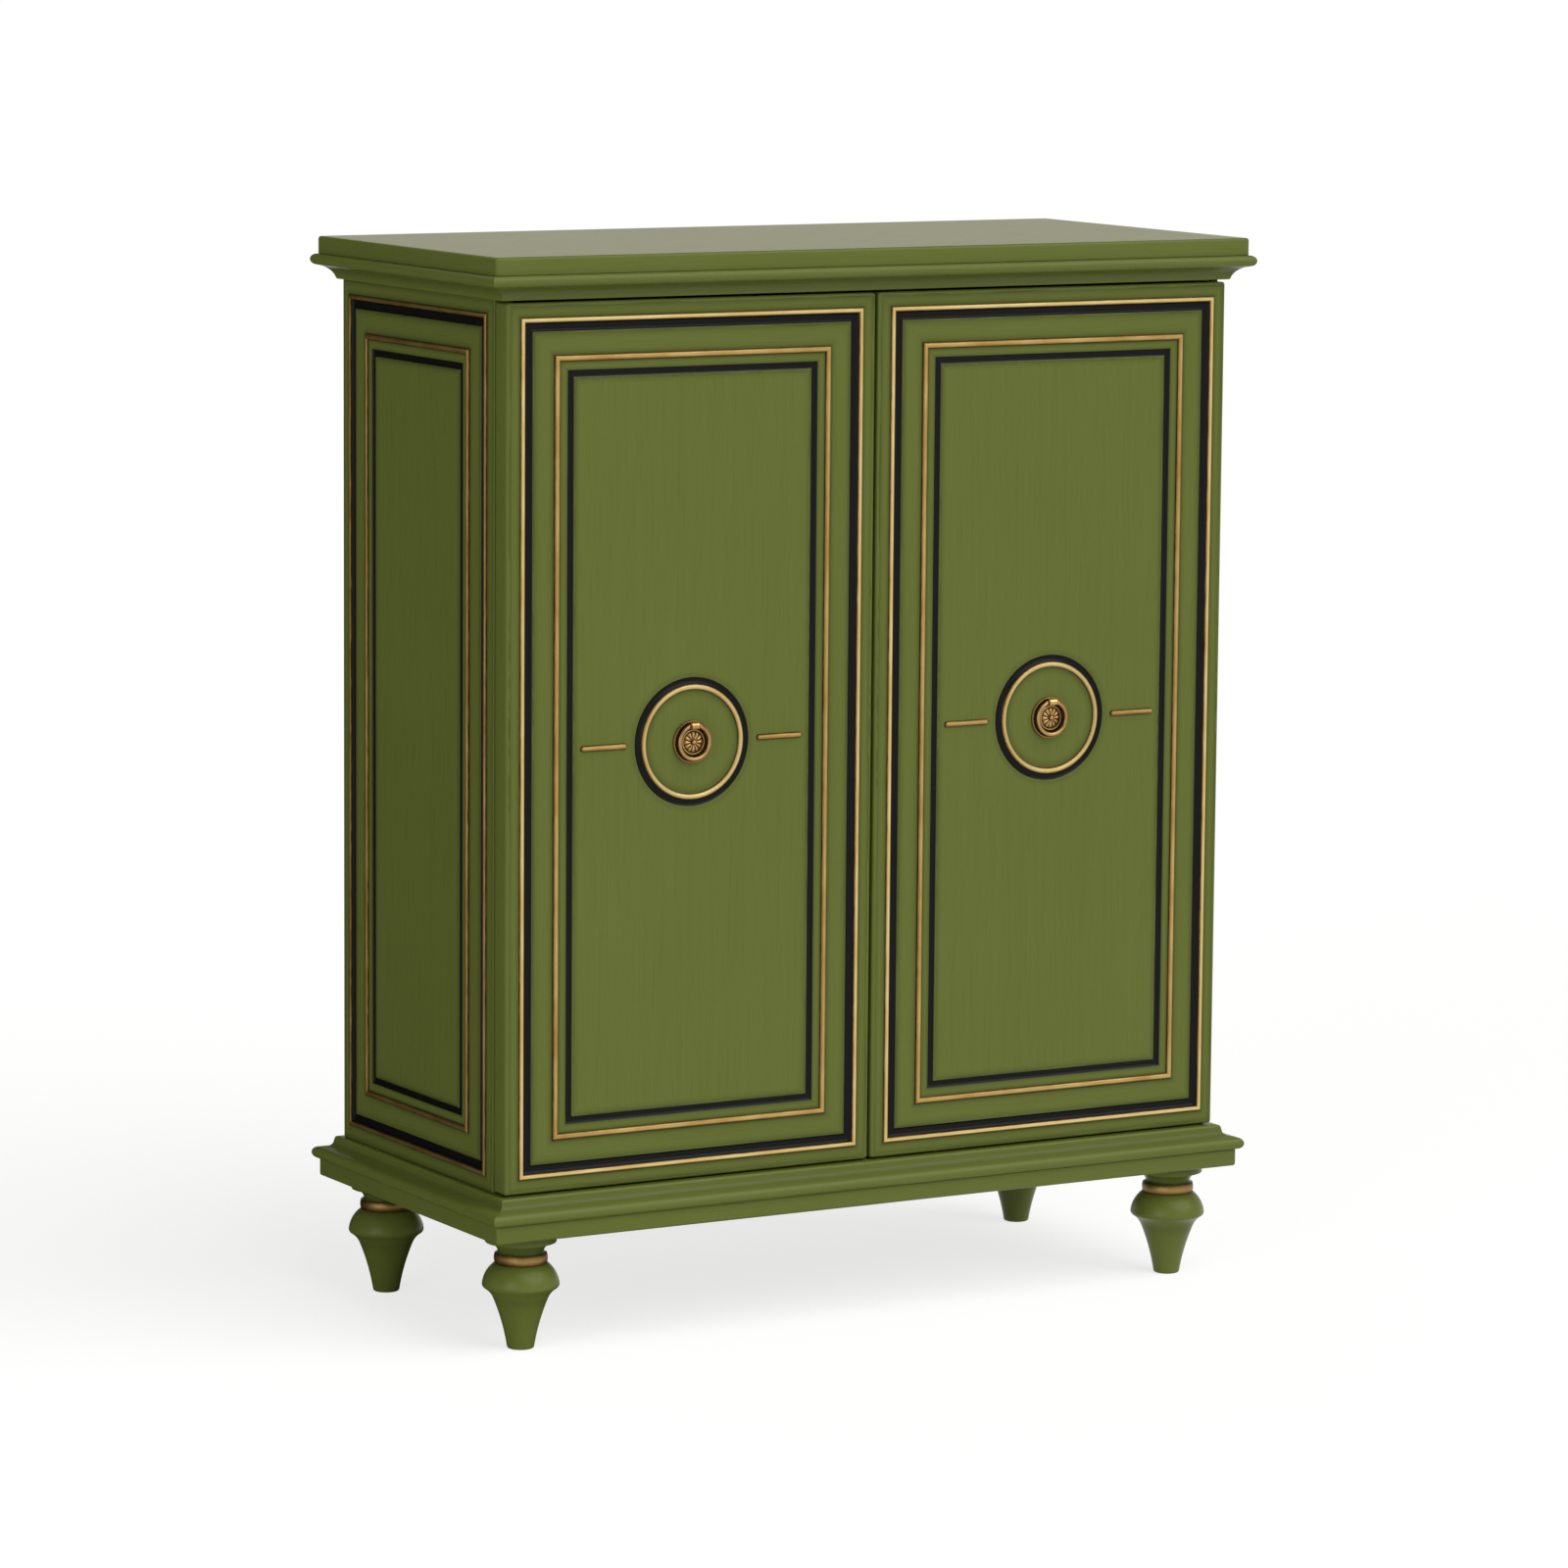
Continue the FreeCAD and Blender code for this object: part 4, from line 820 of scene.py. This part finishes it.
def rim_beads(door):
    """One ball, a half circle turned round the pull's axis, repeated at equal angles round the rim."""
    tilt = np.linspace(0, np.pi, BALL_ROWS)
    ball = turned(RIM_BEAD_RADIUS * stacked(np.sin(tilt), np.cos(tilt)), BALL_COLUMNS)
    spots = turned(np.array([(RIM_BEAD_RING, RIM_BEAD_HEIGHT)]), RIM_BEADS)[0]
    points = spots[:, None, None, :] + ball
    first_points = BALL_ROWS * BALL_COLUMNS * np.arange(RIM_BEADS)[:, None, None]
    quads = grid_quads(BALL_ROWS, BALL_COLUMNS) + first_points
    glaze_and_shade = np.tile(np.clip(1 - np.cos(tilt), 0, 1), RIM_BEADS)
    add_to_board(door, "pull_rim_beads", points, quads.reshape(-1, 4), aged_brass, glaze_and_shade=glaze_and_shade)


def rosette(door):
    """Petals over a disc: height is a hump in radius times a wave in angle; a ball sits in the middle."""
    share = np.linspace(0, 1, 14)[:, None]
    angle = np.linspace(0, 2 * np.pi, PETALS * PETAL_STEPS, endpoint=False)[None, :]
    wave = np.abs(np.cos(PETALS / 2 * angle)) ** 1.2
    hump = np.sin(np.pi * np.clip(0.12 + 0.88 * share, 0, 1)) ** 0.7
    radius = (2.2 + 8.9 * share) * MM
    height = (2.7 + 1.9 * hump * (0.25 + 0.75 * wave)) * MM
    petals = stacked(radius * np.cos(angle), radius * np.sin(angle), height)
    bed = petals[[-1]] * (1, 1, 0) + (0, 0, 2.4 * MM)
    points = np.concatenate([petals, bed])
    glaze_and_shade = np.concatenate([1 - hump * wave, np.ones(angle.shape)]) ** 1.3
    add_to_board(door, "pull_rosette", points, tube_faces(*points.shape[:2]), aged_brass, glaze_and_shade=glaze_and_shade)
    knob = np.concatenate([[(0, 2.6), (2.2, 2.6)], arc((2.6, 4.0), (0, 6.6), 90, 8)]) * MM
    dark = np.concatenate([[1, 1], np.linspace(0.7, 0, 9)])
    add_to_board(door, "pull_knob", turned(knob, KNOB_STEPS), grid_quads(len(knob), KNOB_STEPS), aged_brass,
                 glaze_and_shade=dark)


for door in doors:
    pull_plate(door)
    rim_beads(door)
    rosette(door)

# %% [markdown]
# ## Knuckles and rings
# The ring is a round wire bent into a circle that is open at the top, where a pin across the opening runs
# through the knuckle. It rides on its own body, which turns about that pin. The knuckle belongs to the
# door: one lug-shaped section, made smaller and larger along its length, gives the lug and its two
# collars.

# %% Knuckles and rings
PIN_RISE, STAND_OFF = 17.0 * MM, 5.7 * MM
PIN_RADIUS, PIN_HALF, PIN_STEPS = 1.8 * MM, 7.5 * MM, 24
KNUCKLE_HALF, KNUCKLE_PLAY = 5.4 * MM, 0.4 * MM
HANGING_RADIUS, WIRE_RADIUS = 17.4 * MM, 2.2 * MM
PATH_POINTS, WIRE_STEPS = 97, 24


def knuckle(door):
    """A round-topped lug between two collars: one section, scaled about its middle along its length."""
    top = arc((3.7, 5.7), (-3.7, 5.7), 180, 14)
    section = np.concatenate([top, [(-3.7, 1.0), (3.7, 1.0)]]) * MM
    along = np.array([-1, -0.96, -0.88, -0.84, -0.78, 0.78, 0.84, 0.88, 0.96, 1]) * KNUCKLE_HALF
    size = np.array([0.8, 0.9, 0.9, 0.84, 1, 1, 0.84, 0.9, 0.9, 0.8])
    middle = np.array([0, 3.6 * MM])
    shaped = middle + (section - middle) * size[:, None, None]
    points = stacked(along[:, None], PIN_RISE + shaped[..., 0], shaped[..., 1])
    glaze_and_shade = [1, 0.6, 0.6, 1, 0, 0, 1, 0.6, 0.6, 1]
    add_to_board(door, "pull_knuckle", points, tube_faces(*points.shape[:2]), aged_brass, glaze_and_shade=glaze_and_shade)


def hanging_ring(door, body, node):
    """A round wire bent into a circle that is open where the knuckle is, and the pin across the opening."""
    half_open = np.arcsin((KNUCKLE_HALF + KNUCKLE_PLAY) / HANGING_RADIUS)
    path = np.linspace(half_open, 2 * np.pi - half_open, PATH_POINTS)[:, None]
    round_wire = np.linspace(0, 2 * np.pi, WIRE_STEPS, endpoint=False)[None, :]
    thick = np.full((PATH_POINTS, 1), WIRE_RADIUS)
    thick[[0, -1]] = 0.8 * WIRE_RADIUS
    reach = HANGING_RADIUS + thick * np.cos(round_wire)
    points = stacked(reach * np.sin(path), reach * np.cos(path), STAND_OFF + thick * np.sin(round_wire))
    glaze_and_shade = np.clip(0.2 + 0.75 * (1 - np.sin(round_wire)), 0, 1)
    add_piece(f"{node}_bent", from_board(door, points), tube_faces(PATH_POINTS, WIRE_STEPS), aged_brass,
              body, [node], np.broadcast_to(glaze_and_shade, reach.shape))
    rod = np.array([(0, -PIN_HALF), (PIN_RADIUS, -PIN_HALF), (PIN_RADIUS, PIN_HALF), (0, PIN_HALF)])
    pin = turned(rod, PIN_STEPS)[..., [2, 0, 1]] + (0, PIN_RISE, STAND_OFF)
    add_piece(f"{node}_pin", from_board(door, pin), grid_quads(len(rod), PIN_STEPS), aged_brass, body,
              glaze_and_shade=0.5)


for door, side in zip(doors, ("left", "right")):
    knuckle(door)
    hanging_ring(door, f"{side}_ring", f"{side}_pull_ring")

# %% [markdown]
# ## Hardware that stays as it is
# Screws, bolts, pivots, shelf pins, catches and their plates are already right in the frame, and are
# small or hidden. They only need their finishes. The catches are moulded plastic, which has a slight
# orange-peel surface.

# %% Hardware finishes
PEBBLE_SIZE, PEBBLE_RELIEF = 1.5 * MM, 0.05 * MM


def mottled(tree, shade, colour, size):
    """Two close colours mixed by a noise of this size. Returns the mixture and the noise."""
    place = add_node(tree, "TexCoord", {}, "Object")
    cloud = add_node(tree, "TexNoise", {"Vector": place, "Scale": 1 / size, "Detail": 2.0})
    tint = add_node(tree, "Mix", {FACTOR: cloud, FIRST: linear(shade), SECOND: linear(colour)}, **COLOUR_MIX)
    return tint, cloud


# Brown moulded plastic of the magnetic catches: dull, with a fine pebbled surface.
catch_plastic, plastic_tree, plastic_shader = new_material("brown_moulded_plastic")
plastic_tint, pebbles = mottled(plastic_tree, "#4C362A", "#5A4032", PEBBLE_SIZE)
plastic_relief = add_node(plastic_tree, "Bump", {"Strength": 0.4, "Distance": PEBBLE_RELIEF,
                                                 "Height": pebbles})
feed(plastic_tree, plastic_shader, {"Base Color": plastic_tint, "Roughness": 0.5, "Normal": plastic_relief})

HARDWARE = {"shelf_pins": turned_brass, "hinge_pins": dark_brass, "case_screws": plated_steel,
            "foot_bolts": plated_steel, "door_catches": catch_plastic}
for door in ("left_door", "right_door"):
    HARDWARE[f"{door}_hinge_bushes"] = turned_brass
    HARDWARE[f"{door}_pull_bolt"] = plated_steel
    HARDWARE[f"{door}_catch_plate"] = plated_steel
for node, material in HARDWARE.items():
    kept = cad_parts[node]
    kept.data.materials.clear()
    kept.data.materials.append(material)
print("hardware:", len(HARDWARE), "nodes keep their shape")

# %% [markdown]
# ## Floor and flag
# The cabinet stands on a pale floor that runs to the horizon, so that the whole picture is floor. To the
# eye, and in shine, the floor glows a little, so that it is white where it is lit and keeps a light
# shadow. As in a studio, a dark flag beside the back left corner keeps that white out of the satin paint
# of the left side. A dark mat under the left end of the cabinet is a painted shadow: in shine it stands
# for the floor's shade under the cabinet, which the glow would leave white. Only shine shows the flag and
# the mat; they take no light away.

# %% Floor and flag
FLOOR_REACH, FLOOR_DROP = 120.0, 0.2 * MM
FLOOR_GLOW = 0.75
FLOOR_CLOUD, FELT_NAP = 2.5, 0.025
FLAG_SPOT, FLAG_WAY = np.array([-0.68, 0.5]), np.array([0.893, 0.45])
FLAG_HALF_WIDTH, FLAG_HEIGHT = 0.45, 1.4
SHADOW_MAT_CORNERS = [(-1.1, -0.25), (0.1, -0.25), (0.1, 0.75), (-1.1, 0.75)]


def seen_ray(tree):
    """One for rays that show the background to the eye, straight, in a shine or through glass; else zero."""
    straight = add_node(tree, "LightPath", {}, "Is Camera Ray")
    rays = straight.node.outputs
    shine = add_node(tree, "Math", {0: rays["Is Glossy Ray"], 1: rays["Is Transmission Ray"]})
    return add_node(tree, "Math", {0: straight, 1: shine}, use_clamp=True)


def stage_sheet(name, corners, material):
    """Flat sheets for the stage, which aren't part of the cabinet: every four corners make one."""
    mesh = bpy.data.meshes.new(name)
    mesh.from_pydata(corners, [], np.arange(len(corners)).reshape(-1, 4).tolist())
    mesh.materials.append(material)
    sheet = bpy.data.objects.new(name, mesh)
    bpy.context.scene.collection.objects.link(sheet)
    return sheet


pale_floor, floor_tree, floor_shader = new_material("pale_floor")
floor_seen = seen_ray(floor_tree)
floor_tint, _ = mottled(floor_tree, "#F4F4F2", "#F8F8F7", FLOOR_CLOUD)
floor_tint = add_node(floor_tree, "Mix", {FACTOR: floor_seen, FIRST: floor_tint, SECOND: linear("#9C9C9C")},
                      **COLOUR_MIX)
floor_glow = add_node(floor_tree, "Math", {0: floor_seen, 1: FLOOR_GLOW}, operation="MULTIPLY")
feed(floor_tree, floor_shader, {"Base Color": floor_tint, "Roughness": 0.9, "Specular IOR Level": 0.0,
                                "Emission Color": linear("#FFFFFF"), "Emission Strength": floor_glow})
floor_corners = FLOOR_REACH * np.array([(-1, -1), (1, -1), (1, 1), (-1, 1)])
floor = stage_sheet("pale_floor", np.column_stack([floor_corners, np.full(4, -FLOOR_DROP)]), pale_floor)

dark_felt, felt_tree, felt_shader = new_material("dark_felt")
felt_tint, _ = mottled(felt_tree, "#1E1C16", "#2A2820", FELT_NAP)
feed(felt_tree, felt_shader, {"Base Color": felt_tint, "Roughness": 1.0})
flag_feet = FLAG_SPOT + FLAG_HALF_WIDTH * np.outer((-1, 1, 1, -1), FLAG_WAY)
flag_corners = np.column_stack([flag_feet, (0, 0, FLAG_HEIGHT, FLAG_HEIGHT)])
# The mat is a painted shadow: the floor's shade under the cabinet, seen only in shine.
shadow_mat_corners = np.column_stack([SHADOW_MAT_CORNERS, np.full(4, FLOOR_DROP)])
flag = stage_sheet("dark_flag_and_shadow_mat", np.concatenate([flag_corners, shadow_mat_corners]), dark_felt)
flag.visible_camera = False
flag.visible_diffuse = False
flag.visible_shadow = False
print("floor", 2 * FLOOR_REACH, "m wide, flag", FLAG_HEIGHT, "m high")

# %% [markdown]
# ## Light
# One broad soft sun from the front right lights the doors, and a weak low one from the front left reaches
# the left side and the feet. The sky is palest at the horizon, which the top shows as a sheen.

# %% Sky and suns
SKY_RISE = 0.6

world = bpy.data.worlds.new("pale_sky")
bpy.context.scene.world = world
world.use_nodes = True
sky = world.node_tree
sky_way = add_node(sky, "TexCoord", {}, "Generated")
sky_height = add_node(sky, "SeparateXYZ", {0: sky_way}, "Z")
sky_share = add_node(sky, "MapRange", {"Value": sky_height, "From Min": 0.0, "From Max": SKY_RISE})
sky_seen = add_node(sky, "Mix", {FACTOR: sky_share, FIRST: linear("#FFF7EC"), SECOND: linear("#8C8E90")},
                    **COLOUR_MIX)
sky_colour = add_node(sky, "Mix", {FACTOR: seen_ray(sky), FIRST: linear("#7A7874"), SECOND: sky_seen},
                      **COLOUR_MIX)
feed(sky, sky.nodes["Background"], {"Color": sky_colour, "Strength": 1.0})


def facing(azimuth, elevation, roll=0.0):
    """Axes of a lamp or camera that looks towards the cabinet, as a matrix, from angles in degrees.

    Azimuth is counted from the front towards the right, and elevation from the floor. The back axis points
    from the cabinet to the lamp or camera, and roll turns the level and the upward axis about it.
    """
    turn, lift, tilt = np.radians((azimuth, elevation, roll))
    back = np.array([np.sin(turn) * np.cos(lift), -np.cos(turn) * np.cos(lift), np.sin(lift)])
    level = np.array([np.cos(turn), np.sin(turn), 0.0])
    upward = np.cross(back, level)
    right = level * np.cos(tilt) + upward * np.sin(tilt)
    above = upward * np.cos(tilt) - level * np.sin(tilt)
    return Matrix(np.column_stack([right, above, back]).tolist()).to_4x4()


def soft_sun(name, azimuth, elevation, strength, spread):
    """A sun from this direction, seen as a disc of this many degrees, which softens its shadows."""
    lamp = bpy.data.lights.new(name, "SUN")
    lamp.energy = strength
    lamp.angle = np.radians(spread)
    sun = bpy.data.objects.new(name, lamp)
    sun.matrix_world = facing(azimuth, elevation)
    bpy.context.scene.collection.objects.link(sun)


soft_sun("key_sun", 28, 49, 2.25, 60)
soft_sun("fill_sun", -58, 12, 0.75, 35)
print("sky:", world.name, "and two suns")

# %% [markdown]
# ## Camera
# The camera stands where the edges of the cabinet fall as they do in the picture that it follows. It was
# fitted to the corners of doors and strips.

# %% Camera
CAMERA_LENS, SENSOR_WIDTH, CAMERA_SIGHT = 152.6, 36.0, 500.0
CAMERA_AZIMUTH, CAMERA_ELEVATION, CAMERA_ROLL = -29.915, 8.021, 0.465
CAMERA_PLACE = (-3.507, -6.096, 1.5328)

camera_data = bpy.data.cameras.new("camera")
camera_data.lens = CAMERA_LENS
camera_data.sensor_width = SENSOR_WIDTH
camera_data.clip_end = CAMERA_SIGHT
camera = bpy.data.objects.new("camera", camera_data)
stand = facing(CAMERA_AZIMUTH, CAMERA_ELEVATION, CAMERA_ROLL)
stand.translation = CAMERA_PLACE
camera.matrix_world = stand
bpy.context.scene.collection.objects.link(camera)
bpy.context.scene.camera = camera
bpy.context.scene.view_settings.view_transform = "Standard"
print("camera at", CAMERA_PLACE, "with a lens of", CAMERA_LENS, "mm")
